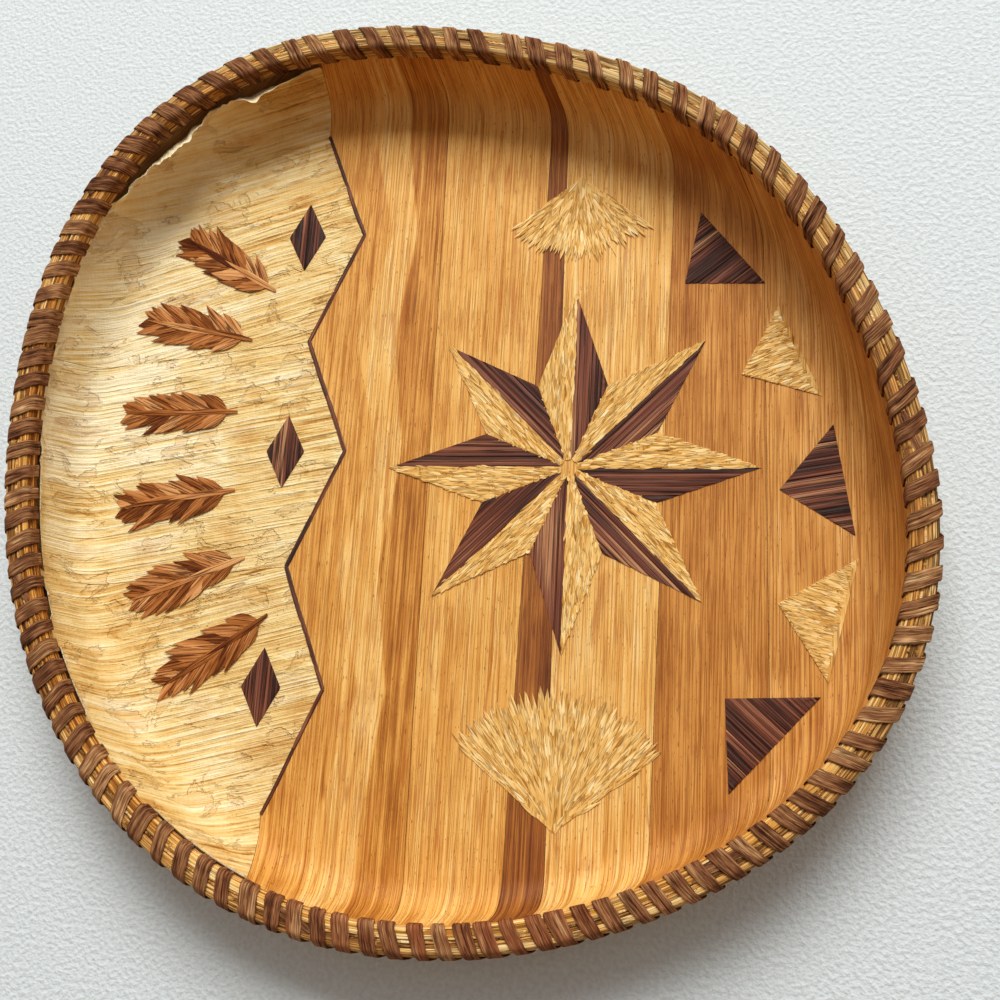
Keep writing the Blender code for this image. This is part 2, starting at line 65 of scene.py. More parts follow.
BEND_INSET = MAT_OUTSIDE + (BEND_RADIUS - (BEND_RADIUS - WALL_KINK) * math.sin(WALL_TILT)) / math.cos(WALL_TILT)
LINING_LIFT = 0.0021
LINING_TOP = 0.0303
SHEET = 0.0005
GLUE_LINE = 0.00015
MOTIF_FOOT = 0.0027


# Chance and smooth randomness

LATTICE_SIDE = 256
SEED_SHIFT = (37.3, 11.9)


def dice(seed):
    """Chance values in a row of their own, the same at each run."""
    return np.random.default_rng(seed)


LATTICE = dice(11).random((LATTICE_SIDE, LATTICE_SIDE))


def drift(x, y=0.0, seed=0):
    """Smooth random value from 0 to 1: lattice values blended by the cubic 3t^2 - 2t^3 both ways."""
    x, y = np.broadcast_arrays(np.asarray(x, float) + SEED_SHIFT[0] * seed, np.asarray(y, float) + SEED_SHIFT[1] * seed)
    i, j = np.floor(x).astype(int), np.floor(y).astype(int)
    u, v = x - i, y - j
    u, v = u * u * (3 - 2 * u), v * v * (3 - 2 * v)
    i, j, next_i, next_j = (k % LATTICE_SIDE for k in (i, j, i + 1, j + 1))
    near = LATTICE[i, j] * (1 - v) + LATTICE[i, next_j] * v
    far = LATTICE[next_i, j] * (1 - v) + LATTICE[next_i, next_j] * v
    return near * (1 - u) + far * u


def rough(x, y=0.0, seed=0, layers=3):
    """Sum of drifts, each twice as fine and half as strong, brought to -1 to 1.

    x and y count waves, so where a length goes in it is times the waves in a metre.
    """
    total = sum((drift(x * 2 ** k, np.asarray(y) * 2 ** k, seed + 5 * k) - 0.5) / 2 ** k for k in range(layers))
    return total / (1 - 0.5 ** layers)


# The rim's outline and the dish

# Steps of the outline's table and of its even points, how many steps a search for a place takes, and what a
# step along the rim is divided by
OUTLINE_STEPS, RIM_STEPS = 4800, 2400
TABLE_TURNS = np.linspace(0.0, 2 * math.pi, OUTLINE_STEPS + 1)
SLIDES = 6
SLIDE_SHARE = 0.95


def wave_outline(turns):
    """Mean radius times one plus a short row of cosine and sine waves, with its outward normals."""
    radius, slope = np.ones_like(turns), np.zeros_like(turns)
    for waves, cosine, sine in OVAL_SHARES:
        radius = radius + cosine * np.cos(waves * turns) + sine * np.sin(waves * turns)
        slope = slope + waves * (sine * np.cos(waves * turns) - cosine * np.sin(waves * turns))
    cos, sin = np.cos(turns), np.sin(turns)
    along = np.stack([slope * cos - radius * sin, slope * sin + radius * cos], axis=-1)
    along /= np.linalg.norm(along, axis=-1)[..., None]
    return MEAN_RADIUS * radius[..., None] * np.stack([cos, sin], -1), np.stack([along[..., 1], -along[..., 0]], -1)


TABLE_POINTS = wave_outline(TABLE_TURNS)[0]
TABLE_LENGTHS = np.concatenate([[0.0], np.cumsum(np.linalg.norm(np.diff(TABLE_POINTS, axis=0), axis=1))])
RIM_LENGTH = TABLE_LENGTHS[-1]
PLAN_MIDDLE = (TABLE_POINTS.min(axis=0) + TABLE_POINTS.max(axis=0)) / 2


def rim_at(lengths):
    """Points and outward normals at lengths along the rim, looked up in the table of its outline."""
    points, normals = wave_outline(np.interp(np.asarray(lengths) % RIM_LENGTH, TABLE_LENGTHS, TABLE_TURNS))
    return points - PLAN_MIDDLE, normals


RIM_POINTS, RIM_NORMALS = rim_at(np.linspace(0.0, RIM_LENGTH, RIM_STEPS, endpoint=False))


def rim_towards(turn):
    """Point and outward normal of the rim nearest to a direction from the tray's middle."""
    angles = np.arctan2(RIM_POINTS[:, 1], RIM_POINTS[:, 0])
    nearest = np.argmin(np.abs(np.angle(np.exp(1j * (angles - turn)))))
    return RIM_POINTS[nearest], RIM_NORMALS[nearest]


def rim_place(x, y):
    """Length along the rim and inset of laid points: the nearest rim point, slid to along the tangent.

    Each slide is divided by SLIDE_SHARE, because a line inside the rim is shorter than the rim.
    """
    angle = np.arctan2(y + PLAN_MIDDLE[1], x + PLAN_MIDDLE[0]) % (2 * math.pi)
    length = np.interp(angle, TABLE_TURNS, TABLE_LENGTHS)
    for _ in range(SLIDES):
        points, normals = rim_at(length)
        away_x, away_y = x - points[..., 0], y - points[..., 1]
        length = length + (away_y * normals[..., 0] - away_x * normals[..., 1]) / SLIDE_SHARE
    points, normals = rim_at(length)
    return length, -((x - points[..., 0]) * normals[..., 0] + (y - points[..., 1]) * normals[..., 1])


def wall_reach(lift, top):
    """Laid distance from the floor's edge up to a height on the wall, for a surface at this lift."""
    radius = BEND_RADIUS - lift
    return radius * BEND_TURN + (top - BEND_RADIUS + radius * math.cos(BEND_TURN)) / math.cos(WALL_TILT)


def on_dish(x, y, lift, raised=0.0):
    """Laid points pressed into the dish: flat floor, an arc of the bend radius, then the sloping wall.

    raised is a further height square to that surface.
    """
    length, inset = rim_place(x, y)
    points, normals = rim_at(length)
    beyond = BEND_INSET - inset
    radius = BEND_RADIUS - lift
    bend = np.clip(beyond / radius, 0.0, BEND_TURN)
    past = np.maximum(beyond - radius * BEND_TURN, 0.0)
    out = radius * np.sin(bend) + past * math.sin(WALL_TILT) - BEND_INSET - raised * np.sin(bend)
    height = BEND_RADIUS - radius * np.cos(bend) + past * math.cos(WALL_TILT) + raised * np.cos(bend)
    wall = beyond > 0
    return np.stack([
        np.where(wall, points[..., 0] + out * normals[..., 0], x),
        np.where(wall, points[..., 1] + out * normals[..., 1], y), height], axis=-1)


LINING_REACH = wall_reach(LINING_LIFT, LINING_TOP)
LAID_EDGE = RIM_POINTS - (BEND_INSET - LINING_REACH) * RIM_NORMALS


def turned(x, y, turn):
    """The same points along and across a direction."""
    cos, sin = math.cos(turn), math.sin(turn)
    return x * cos + y * sin, y * cos - x * sin


def edge_ends(turn, across):
    """Where straight lines in one direction enter and leave the lining's edge, in laid coordinates."""
    along_edge, across_edge = turned(LAID_EDGE[:, 0], LAID_EDGE[:, 1], turn)
    start = int(np.argmin(across_edge))
    along_edge, across_edge = np.roll(along_edge, -start), np.roll(across_edge, -start)
    split = int(np.argmax(across_edge))
    high = np.interp(across, across_edge[:split + 1], along_edge[:split + 1])
    low = np.interp(across, across_edge[:split - 1:-1], along_edge[:split - 1:-1])
    return low, high


# Meshes from whole arrays

def grid_faces(rows, columns, rows_meet=False, columns_meet=False):
    """A face between each point of a grid and the next in its row and column, which may meet round either way."""
    index = np.arange(rows * columns).reshape(rows, columns)
    if rows_meet:
        index = np.vstack([index, index[:1]])
    if columns_meet:
        index = np.hstack([index, index[:, :1]])
    return np.stack([index[:-1, :-1], index[1:, :-1], index[1:, 1:], index[:-1, 1:]], axis=-1).reshape(-1, 4)


def grid_border(rows, columns):
    """The points round a grid's outside, in order."""
    index = np.arange(rows * columns).reshape(rows, columns)
    return np.concatenate([index[0, :-1], index[:-1, -1], index[-1, :0:-1], index[:0:-1, 0]])


def tube_faces(count, stations, around):
    """Faces and end caps of many tubes in one mesh, each of this many stations with points around it."""
    first = np.arange(count) * stations * around
    faces = (grid_faces(stations, around, columns_meet=True)[None] + first[:, None, None]).reshape(-1, 4)
    caps = [range(k, k + around) for k in first]
    caps += [range(k + stations * around - 1, k + (stations - 1) * around - 1, -1) for k in first]
    return faces, caps


def piece(name, points, faces, kind, node, laid, tone=0.5, caps=(), crisp=40.0, **marks):
    """One object of the tray. Its faces are turned so that the volume they enclose is positive.

    Its tone and marks are numbers at its points that its kind of finish reads, and an edge that turns by more
    than crisp degrees shades as a crease.
    """
    points = np.asarray(points, float).reshape(-1, 3)
    a, b, c, d = (points[faces[:, k]] for k in range(4))
    volume = np.einsum("ij,ij->", a, np.cross(b, c)) + np.einsum("ij,ij->", a, np.cross(c, d))
    rows = faces.tolist() + [list(map(int, cap)) for cap in caps]
    if volume < 0:
        rows = [row[::-1] for row in rows]
    mesh = bpy.data.meshes.new(name)
    mesh.from_pydata(points.tolist(), [], rows)
    corner_points = np.zeros(len(mesh.loops), np.int32)
    mesh.loops.foreach_get("vertex_index", corner_points)
    flat = np.broadcast_to(np.asarray(laid, np.float32).reshape(-1, 2), (len(points), 2))
    mesh.uv_layers.new(name="laid").data.foreach_set("uv", np.ascontiguousarray(flat[corner_points]).ravel())
    for mark, values in dict(tone=tone, **marks).items():
        values = np.broadcast_to(np.asarray(values, np.float32).reshape(-1), (len(points),))
        mesh.attributes.new(mark, "FLOAT", "POINT").data.foreach_set("value", np.ascontiguousarray(values))
    mesh.polygons.foreach_set("use_smooth", np.ones(len(mesh.polygons), bool))
    mesh.set_sharp_from_angle(angle=math.radians(crisp))
    material, slot = FINISHES[kind]
    mesh.materials.append(material)
    shown = bpy.data.objects.new(name, mesh)
    bpy.context.scene.collection.objects.link(shown)
    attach(shown, "root")
    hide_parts(node)


def shell(name, upper, lower, laid, kind, node, tone):
    """Closed sheet: the same grid above and below, joined round its border."""
    rows, columns = upper.shape[:2]
    count = rows * columns
    border = grid_border(rows, columns)
    beside = np.roll(border, -1)
    top = grid_faces(rows, columns)
    faces = np.concatenate([top, top[:, ::-1] + count, np.stack([border, beside, beside + count, border + count], 1)])
    piece(name, np.concatenate([upper.reshape(-1, 3), lower.reshape(-1, 3)]), faces, kind, node,
          np.tile(laid.reshape(-1, 2), (2, 1)), np.tile(tone.ravel(), 2))


# A slip's section, as shares of its width and thickness, and the least share of its thickness that it keeps
ROUND_SECTION = np.array([(-0.50, 0.30), (-0.30, 0.85), (0.0, 1.0), (0.30, 0.85), (0.50, 0.30), (0.0, 0.0)])
LEAST_BODY = 0.25

# Widths along a slip, as shares of its own width: straw sliver, plain split, pointed barb and a strip's end
SLIVER = (0.85, 1.0, 1.0, 0.85, 0.5, 0.05)
SPLIT = (0.9, 1.0, 0.96, 1.0, 0.94, 1.0, 0.9)
BARB = (0.35, 0.70, 0.95, 1.0, 0.74, 0.38, 0.03)
TAIL = (0.7, 0.95, 1.0, 0.96, 1.0, 0.8, 0.35)


def slips(name, starts, ends, widths, tones, outline, kind, node, seed, base, thickness, tip_lift, bow, **marks):
    """Many thin slips in one mesh: each a low rounded section carried from its start to its end.

    Width along a slip is its own width times the outline's shares, its height rises from its base by tip_lift
    times the square of the way along, and up to bow times a half sine bends it sideways.
    """
    starts, ends, outline = np.asarray(starts, float), np.asarray(ends, float), np.array(outline)
    count, stations, around = len(starts), len(outline), len(ROUND_SECTION)
    way = np.linspace(0.0, 1.0, stations)
    run = ends - starts
    length = np.linalg.norm(run, axis=1)
    unit = run / length[:, None]
    side = np.stack([-unit[:, 1], unit[:, 0]], axis=1)
    chance = dice(seed)
    swing = bow * chance.uniform(-1, 1, count)
    across = np.asarray(widths)[:, None, None] * outline[:, None] * ROUND_SECTION[:, 0]
    across = across + (swing[:, None] * np.sin(math.pi * way)[None, :])[:, :, None]
    along = np.broadcast_to((length[:, None] * way)[:, :, None], across.shape)
    lift = tip_lift * (way ** 2)[:, None]
    body = thickness * np.maximum(outline, LEAST_BODY)[:, None]
    height = np.broadcast_to(base, count)[:, None, None] + lift + body * ROUND_SECTION[:, 1]
    plan = (starts[:, None, None, :] + along[..., None] * unit[:, None, None, :]
            + across[..., None] * side[:, None, None, :])
    faces, caps = tube_faces(count, stations, around)
    shift = chance.uniform(0, 1, (count, 2))
    laid = np.stack([across + shift[:, :1, None], along + shift[:, 1:, None]], axis=-1)
    tone = np.repeat(np.asarray(tones), stations * around)
    piece(name, np.concatenate([plan, height[..., None]], axis=-1), faces, kind, node, laid, tone, caps, 60.0, **marks)


# Finishes

def linear(colour):
    """sRGB hex to the linear colour that a material holds."""
    channels = [int(colour[k:k + 2], 16) / 255 for k in (0, 2, 4)]
    return [c / 12.92 if c <= 0.04045 else ((c + 0.055) / 1.055) ** 2.4 for c in channels] + [1.0]


def add(tree, kind, links=None, stops=None, out=0, **settings):
    """Adds a node with its settings, its ramp stops of place and colour, and its values or links.

    Gives the output of this name or number, or all of them where out is None.
    """
    node = tree.nodes.new("ShaderNode" + kind)
    for key, value in settings.items():
        setattr(node, key, value)
    if stops:
        ramp = node.color_ramp.elements
        while len(ramp) < len(stops):
            ramp.new(0.5)
        for element, (place, colour) in zip(ramp, stops):
            element.position = place
            element.color = linear(colour) if isinstance(colour, str) else (colour,) * 3 + (1.0,)
    for key, value in (links or {}).items():
        if isinstance(value, bpy.types.NodeSocket):
            tree.links.new(value, node.inputs[key])
        else:
            node.inputs[key].default_value = value
    return node.outputs if out is None else node.outputs[out]


def new_finish(name, shine):
    """A Principled material with its roughness and specular level, which are its shine.

    Gives the material, its tree and its shader's inputs.
    """
    material = bpy.data.materials.new(name)
    material.use_nodes = True
    tree = material.node_tree
    inputs = tree.nodes["Principled BSDF"].inputs
    inputs["Roughness"].default_value, inputs["Specular IOR Level"].default_value = shine
    return material, tree, inputs


def close_finish(tree, inputs, colour, height, relief, strength=1.0):
    """Sends the colour and the height, this many metres from lowest to highest, to the shader."""
    bump = add(tree, "Bump", {"Height": height, "Distance": relief, "Strength": strength})
    tree.links.new(colour, inputs["Base Color"])
    tree.links.new(bump, inputs["Normal"])


def grain(tree, laid, across, along, detail=3.0, roughness=0.6, turn=0.0, warp=0.0):
    """Noise drawn out along the grain: its waves are across by along metres."""
    place = add(tree, "Mapping", {"Vector": laid, "Rotation": (0, 0, turn)})
    place = add(tree, "Mapping", {"Vector": place, "Scale": (1 / across, 1 / along, 1.0)})
    return add(tree, "TexNoise", {
        "Vector": place, "Scale": 1.0, "Detail": detail, "Roughness": roughness, "Distortion": warp})


def blend_of(tree, *terms):
    """Values centred on a half, each times its strength, added up round a half."""
    total = 0.5 - sum(strength / 2 for _, strength in terms)
    for socket, strength in terms:
        total = add(tree, "Math", {0: socket, 1: strength, 2: total}, operation="MULTIPLY_ADD")
    return total


def thin_lines(tree, laid, across, along, spread=0.022):
    """1 along the thin lines where a drawn-out noise crosses its middle, 0 between them."""
    wave = grain(tree, laid, across, along, 1.5, 0.5)
    return add(tree, "ValToRGB", {"Fac": wave}, stops=(
        (0.5 - spread * 2, 0.0), (0.5 - spread / 2, 1.0), (0.5 + spread / 2, 1.0), (0.5 + spread * 2, 0.0)))


def tint(tree, colour, mask, other, strength=1.0):
    """Mixes another colour in where the mask is, at this strength."""
    share = add(tree, "Math", {0: mask, 1: strength}, operation="MULTIPLY")
    return add(tree, "MixRGB", {"Fac": share, "Color1": colour, "Color2": linear(other)})


# Coarser patterns in fibre, as multiples of the width and the length of its fine lines
THREADS, CLOUDS, SPLITS = (3.5, 2), (16, 1.5), (2.2, 2.5)


def fibrous(name, shine, tones, lines, relief, shares, splits=None, fresh=None):
    """Split plant fibre: fine lines along the grain, broad changes of tone, and a tone for each slip.

    The lines are this wide and long, and relief is their height, in metres. The shares are how much of the
    colour's change comes from each slip's tone, from the lines and from the clouds. Splits are the colour and
    strength of painted shade in thin grooved splits. Fresh is what the fresh mark turns a piece to: newly
    peeled, or worn bare.
    """
    material, tree, inputs = new_finish(name, shine)
    (across, along), (tone_share, fine, broad) = lines, shares
    laid = add(tree, "UVMap", uv_map="laid")
    tone = add(tree, "Attribute", out="Fac", attribute_name="tone")
    line = grain(tree, laid, across, along, 4.0, 0.7)
    threads = grain(tree, laid, across * THREADS[0], along * THREADS[1], 2.0)
    clouds = grain(tree, laid, across * CLOUDS[0], along * CLOUDS[1], 2.0)
    value = blend_of(tree, (line, fine), (threads, fine * 0.6), (clouds, broad), (tone, tone_share))
    colour = add(tree, "ValToRGB", {"Fac": value}, stops=tones)
    height = blend_of(tree, (line, 0.5), (threads, 0.9))
    if fresh:
        colour = tint(tree, colour, add(tree, "Attribute", out="Fac", attribute_name="fresh"), fresh, 0.55)
    # Painted shade: thin dark lines where the fibre is split, which the bump also presses in as grooves
    if splits:
        gaps = thin_lines(tree, laid, across * SPLITS[0], along * SPLITS[1])
        colour = tint(tree, colour, gaps, *splits)
        height = blend_of(tree, (height, 1.0), (gaps, -0.5))
    close_finish(tree, inputs, colour, height, relief, 0.9)
    return material


def husk_finish():
    """Husk pressed flat: pale with a soft sheen, ridged along its veins, with bare flakes, crinkles and stains."""
    material, tree, inputs = new_finish("pressed_straw_husk", (0.50, 0.22))
    laid = add(tree, "UVMap", uv_map="laid")
    ridges = grain(tree, laid, 0.0012, 0.100, 2.5, 0.55, warp=0.15)
    fine = grain(tree, laid, 0.0006, 0.014, 4.0, 0.7)
    crinkle = grain(tree, laid, 0.0030, 0.0090, 4.0, 0.65, warp=0.8)
    cross = grain(tree, laid, 0.0060, 0.0010, 3.0, 0.6)
    cloudy = grain(tree, laid, 0.030, 0.050, 3.0)
    tone = add(tree, "Attribute", out="Fac", attribute_name="tone")
    value = blend_of(tree, (ridges, 1.0), (fine, 0.45), (crinkle, 0.30), (cross, 0.2), (cloudy, 0.8), (tone, 0.7))
    colour = add(tree, "ValToRGB", {"Fac": value}, stops=(
        (0.02, "A2661F"), (0.18, "CC954A"), (0.36, "E6BE74"), (0.58, "F4D898"), (0.88, "FFF2CC")))
    flakes = grain(tree, laid, 0.0130, 0.0240, 5.0, 0.62, warp=0.9)
    bare = add(tree, "ValToRGB", {"Fac": flakes}, stops=((0.562, 0.0), (0.588, 1.0)))
    colour = tint(tree, colour, bare, "CE9650", 0.26)
    lip = add(tree, "ValToRGB", {"Fac": flakes}, stops=((0.562, 0.0), (0.571, 1.0), (0.575, 1.0), (0.583, 0.0)))
    colour = tint(tree, colour, lip, "A86A24", 0.16)
    stain = grain(tree, laid, 0.030, 0.040, 5.0, 0.7, warp=0.5)
    colour = tint(tree, colour, add(tree, "ValToRGB", {"Fac": stain}, stops=((0.56, 0.0), (0.74, 0.5))), "C07E36")
    height = blend_of(tree, (ridges, 1.5), (fine, 0.25), (crinkle, 0.9), (cross, 0.3), (bare, -0.6))
    close_finish(tree, inputs, colour, height, 0.00085)
    return material


def veneer_finish(name, tones, patch, strip_change):
    """Shaved palm veneer, laid upright: satin, fine straight grain, dark specks, stains and strips of unlike tone."""
    material, tree, inputs = new_finish(name, (0.56, 0.30))
    laid = add(tree, "UVMap", uv_map="laid")
    lines = grain(tree, laid, 0.0007, 0.060, 5.0, 0.75)
    broad_lines = grain(tree, laid, 0.0024, 0.160, 2.0)
    cloudy = grain(tree, laid, 0.014, 0.034, 4.0)
    tone = add(tree, "Attribute", out="Fac", attribute_name="tone")
    value = blend_of(tree, (lines, 1.3), (broad_lines, 0.8), (cloudy, 0.6), (tone, strip_change))
    colour = add(tree, "ValToRGB", {"Fac": value}, stops=tones)
    speck = grain(tree, laid, 0.0006, 0.0035, 2.0)
    colour = tint(tree, colour, add(tree, "ValToRGB", {"Fac": speck}, stops=((0.30, 0.85), (0.36, 0.0))), "84480F")
    stain = grain(tree, laid, 0.012, 0.045, 5.0, 0.65, warp=0.7)
    colour = tint(tree, colour, add(tree, "ValToRGB", {"Fac": stain}, stops=((0.57, 0.0), (0.74, 0.5))), patch)
    pores = thin_lines(tree, laid, 0.0013, 0.070, 0.018)
    colour = tint(tree, colour, pores, patch, 0.55)
    height = blend_of(tree, (lines, 0.7), (broad_lines, 0.8), (cloudy, 0.2), (pores, -0.3))
    close_finish(tree, inputs, colour, height, 0.00045)
    return material


def plait_finish():
    """Plaited split cane: golden brown with a little gloss, its fine lines running one way and then the other."""
    material, tree, inputs = new_finish("plaited_cane", (0.6, 0.35))
    laid = add(tree, "UVMap", uv_map="laid")
    tone = add(tree, "Attribute", out="Fac", attribute_name="tone")
    one_way, other_way = (grain(tree, laid, 0.0005, 0.030, 3.0, turn=way * math.pi / 4) for way in (1, -1))
    on_top = add(tree, "Attribute", out="Fac", attribute_name="on_top")
    lines = add(tree, "Mix", {0: on_top, 2: one_way, 3: other_way})
    cloudy = grain(tree, laid, 0.030, 0.030, 3.0)
    value = blend_of(tree, (lines, 1.2), (cloudy, 0.8), (tone, 0.7))
    colour = add(tree, "ValToRGB", {"Fac": value}, stops=(
        (0.08, "4A2C12"), (0.28, "8A5F2E"), (0.52, "B9884C"), (0.78, "D2A768"), (0.95, "E2C08A")))
    close_finish(tree, inputs, colour, lines, 0.00025, 0.9)
    return material


# Each kind of finish, with a slot name beside it
FINISHES = {
    "husk": (husk_finish(), "straw_husk"),
    # Tan veneer, the palest of the three, with orange-brown stains
    "tan": (veneer_finish("tan_palm_veneer", (
        (0.06, "7C420E"), (0.28, "BA7424"), (0.50, "DF9E48"), (0.72, "EFB862"), (0.94, "FBD48C")), "AE5A18", 0.7),
        "tan_veneer"),
    # Veneer of riper palm, darker and more orange
    "orange": (veneer_finish("orange_palm_veneer", (
        (0.06, "6E360A"), (0.28, "A2601E"), (0.50, "C68236"), (0.72, "DC9C4C"), (0.94, "EFB86E")), "904610", 0.7),
        "tan_veneer"),
    # Brown veneer from nearer the bark, in one narrow sheet
    "brown": (veneer_finish("brown_palm_veneer", (
        (0.06, "431C06"), (0.28, "70380F"), (0.50, "93521D"), (0.72, "AE6C2A"), (0.94, "C9873C")), "5A260A", 0.6),
        "brown_veneer"),
    # Split cane and vine bent into a hoop: golden, its strands showing as fine lines, a little gloss
    "cane": (fibrous("bent_split_cane", (0.65, 0.12), (
        (0.05, "7A4212"), (0.25, "C87E2E"), (0.48, "ECA94E"), (0.72, "F9C674"), (0.94, "FFE0A2")),
        (0.0006, 0.022), 0.00022, (0.9, 1.5, 0.9), ("5A3412", 0.7), "B8A070"), "split_cane"),
    # Weathered outer splints: brown bark skins and bare grey-tan wood side by side
    "splint": (fibrous("weathered_rim_splint", (0.75, 0.1), (
        (0.05, "543012"), (0.25, "A86E34"), (0.48, "D69A50"), (0.72, "EEBC72"), (0.94, "FBDA9C")),
        (0.0006, 0.014), 0.00028, (0.9, 1.6, 0.9), ("43280F", 0.8), "AE9868"), "rim_splint"),
    # Inner bark peeled in flat strips: purple-brown, stringy, dull with a faint shine on its ribs
    "lashing": (fibrous("inner_bark_lashing", (0.82, 0.08), (
        (0.05, "2E170B"), (0.26, "5F3822"), (0.46, "885839"), (0.70, "A97A4F"), (0.94, "DAB080")),
        (0.0005, 0.0080), 0.00036, (0.6, 1.5, 0.8), ("2A140A", 0.6), "8C4424"), "bark_lashing"),
    # Straw split and pressed open: pale gold with a faint sheen, with painted shade in its thin splits
    "straw": (fibrous("split_straw", (0.65, 0.15), (
        (0.04, "7E4C14"), (0.24, "C68A38"), (0.46, "E8B664"), (0.70, "F9D48C"), (0.92, "FFEDBC")),
        (0.0008, 0.016), 0.00024, (0.62, 1.1, 1.0), ("7A4614", 0.55)), "split_straw"),
    # Stained bark strips: near-black to red-brown ribs with a waxy gloss
    "dark": (fibrous("stained_dark_bark", (0.52, 0.2), (
        (0.05, "260F08"), (0.26, "502719"), (0.48, "6E3B29"), (0.72, "8A523A"), (0.94, "B8855C")),
        (0.0007, 0.050), 0.00035, (0.7, 1.4, 1.2), ("1C0A05", 0.9)), "dark_bark"),
    # Leaf-shaped slips of reddish bark with a fibrous skin
    "leaf": (fibrous("reddish_leaf_bark", (0.7, 0.12), (
        (0.05, "502208"), (0.26, "834618"), (0.48, "AC6830"), (0.72, "C6824A"), (0.94, "DEA468")),
        (0.0007, 0.020), 0.00040, (0.8, 1.6, 0.6), ("481C06", 0.85)), "leaf_bark"),
    # Thin strip of the darkest bark that outlines the ground
    "outline": (fibrous("dark_outline_bark", (0.55, 0.3), (
        (0.05, "1C0A05"), (0.28, "3A1A0E"), (0.52, "5E2E1A"), (0.78, "824A2E"), (0.94, "A87048")),
        (0.0006, 0.018), 0.00030, (0.6, 1.6, 0.9), ("1E0D06", 0.7)), "outline_strip"),
    # Raw edge of the plait, cut off ragged between the hoops: torn fibre ends, without gloss
    "edge": (fibrous("raw_plait_edge", (0.8, 0.2), (
        (0.05, "5A3618"), (0.28, "A4723A"), (0.52, "D09C5A"), (0.78, "EABE7C"), (0.94, "F8DCA6")),
        (0.0006, 0.006), 0.00030, (0.9, 1.6, 0.9)), "plaited_cane"),
    "plait": (plait_finish(), "plaited_cane"),
}


# Rim

# How the rim lies and wears at ten even places round it, from the right-hand side anticlockwise: how bare
# the hoops are worn, how much lighter than their mean they are, the lashings' spacing and width as shares
# of the mean, and how much of their advance they make on the top
HOOP_WEAR = (0.5, 0.9, 0.9, 0.3, 0.0, 0.0, 0.0, 0.1, 0.1, 0.2)
HOOP_TONES = (-0.04, 0.08, 0.08, -0.14, -0.24, -0.18, -0.04, 0.04, -0.02, -0.10)
PITCH_SHARES = (1.23, 1.19, 1.15, 1.14, 0.96, 0.88, 1.02, 0.81, 0.80, 0.98)
WIDTH_SHARES = (1.12, 1.16, 1.10, 1.24, 1.12, 1.00, 1.04, 1.00, 0.90, 0.98)
TOP_SHARES = (1.00, 1.00, 0.80, 0.50, 0.10, 0.00, 0.25, 0.30, 0.35, 0.80)

# The corners that the lashings press round, each a side, a level and a radius, and the room left under them
HOOP_CORNERS = ((OUTER_HOOP[0], HOOP_TOP, 0.0026), (INNER_HOOP[1], HOOP_TOP, 0.0018),
                (OUTER_HOOP[0], HOOP_FOOT, 0.0016), (INNER_HOOP[1], HOOP_FOOT, 0.0016))
UNDER_LASHING = 0.00015

# Strands: the power and the steps of a hoop's squarish section, its points round the rim, their spacing over
# its skin, the length from joint to joint, and how many strands and joints have a chance value of their own
SECTION_POWER = 7.0
SECTION_STEPS = 1600
HOOP_STEPS = 620
SKIN_STEP = 0.00025
JOINT_SPACING = 0.060
STRAND_CHANCES, JOINT_CHANCES = 97, 61

# The outer hoop's splints: the gap beside each, the width of its strands and how much lower its top is
SPLINT_GAP = 0.0001
SPLINTS = ((0.0013, 0.0), (0.0011, 0.0), (0.00145, 0.0002))

# A lashing: its gap to the hoops, how much its path cuts off their corners and the outer shoulder, half its
# width, its thickness in the middle and at most, its points along a turn and across, the steps of its path
# and how many are averaged to each side, and where along the rim it is reddest and how far round that
LASHING_GAP = 0.00018
CORNER_CUT, SHOULDER_CUT = 0.0012, 0.0022
LASHING_HALF = 0.0032
LASHING_THICK, LASHING_MOST = 0.00048, 0.00072
TURN_SAMPLES, LASHING_ACROSS = 60, 19
PATH_STEPS, PATH_EASED = 480, 8
RED_STRETCH = (0.940, 0.075)

# A strip's tucked end: where it starts and stops from the joint, how deep it lies inwards, and its width
TAIL_REACH = (-0.0035, 0.0135)
TAIL_INSETS = (0.0030, 0.0095)
TAIL_WIDTH = 0.0042


def round_rim(shares, lengths):
    """Values at lengths along the rim, in straight lines between shares at even places round it."""
    places = (np.arange(len(shares)) + 0.5) / len(shares)
    return np.interp(lengths / RIM_LENGTH, places, shares, period=1.0)


def rounded_section(width, height, around):
    """Superellipse, stepped evenly along its girth from the middle of its foot, with its outward normals."""
    turn = np.linspace(-math.pi / 2, 1.5 * math.pi, SECTION_STEPS + 1)
    across = np.sign(np.cos(turn)) * np.abs(np.cos(turn)) ** (2 / SECTION_POWER) * width / 2
    up = np.sign(np.sin(turn)) * np.abs(np.sin(turn)) ** (2 / SECTION_POWER) * height / 2
    girth = np.concatenate([[0.0], np.cumsum(np.hypot(np.diff(across), np.diff(up)))])
    place = girth[-1] * np.arange(around) / around
    across, up = np.interp(place, girth, across), np.interp(place, girth, up)
    ahead = np.stack([np.roll(across, -1) - np.roll(across, 1), np.roll(up, -1) - np.roll(up, 1)])
    ahead /= np.linalg.norm(ahead, axis=0)
    return across, up, ahead[1], -ahead[0], place


def bundle_corners(inset, level, skin):
    """Points past a corner of the pair of hoops are drawn in to its arc, where the lashings press it round."""
    for side, height, radius in HOOP_CORNERS:
        inward, upward = (1 if side == OUTER_HOOP[0] else -1), (1 if height == HOOP_TOP else -1)
        across, down = inward * (inset - side), upward * (height - level)
        away = np.hypot(radius - across, radius - down)
        limit = radius - UNDER_LASHING + skin
        corner = (across < radius) & (down < radius) & (away > limit)
        share = np.where(corner, limit / np.maximum(away, 1e-6), 1.0)
        inset = np.where(corner, side + inward * (radius - (radius - across) * share), inset)
        level = np.where(corner, height - upward * (radius - (radius - down) * share), level)
    return inset, level


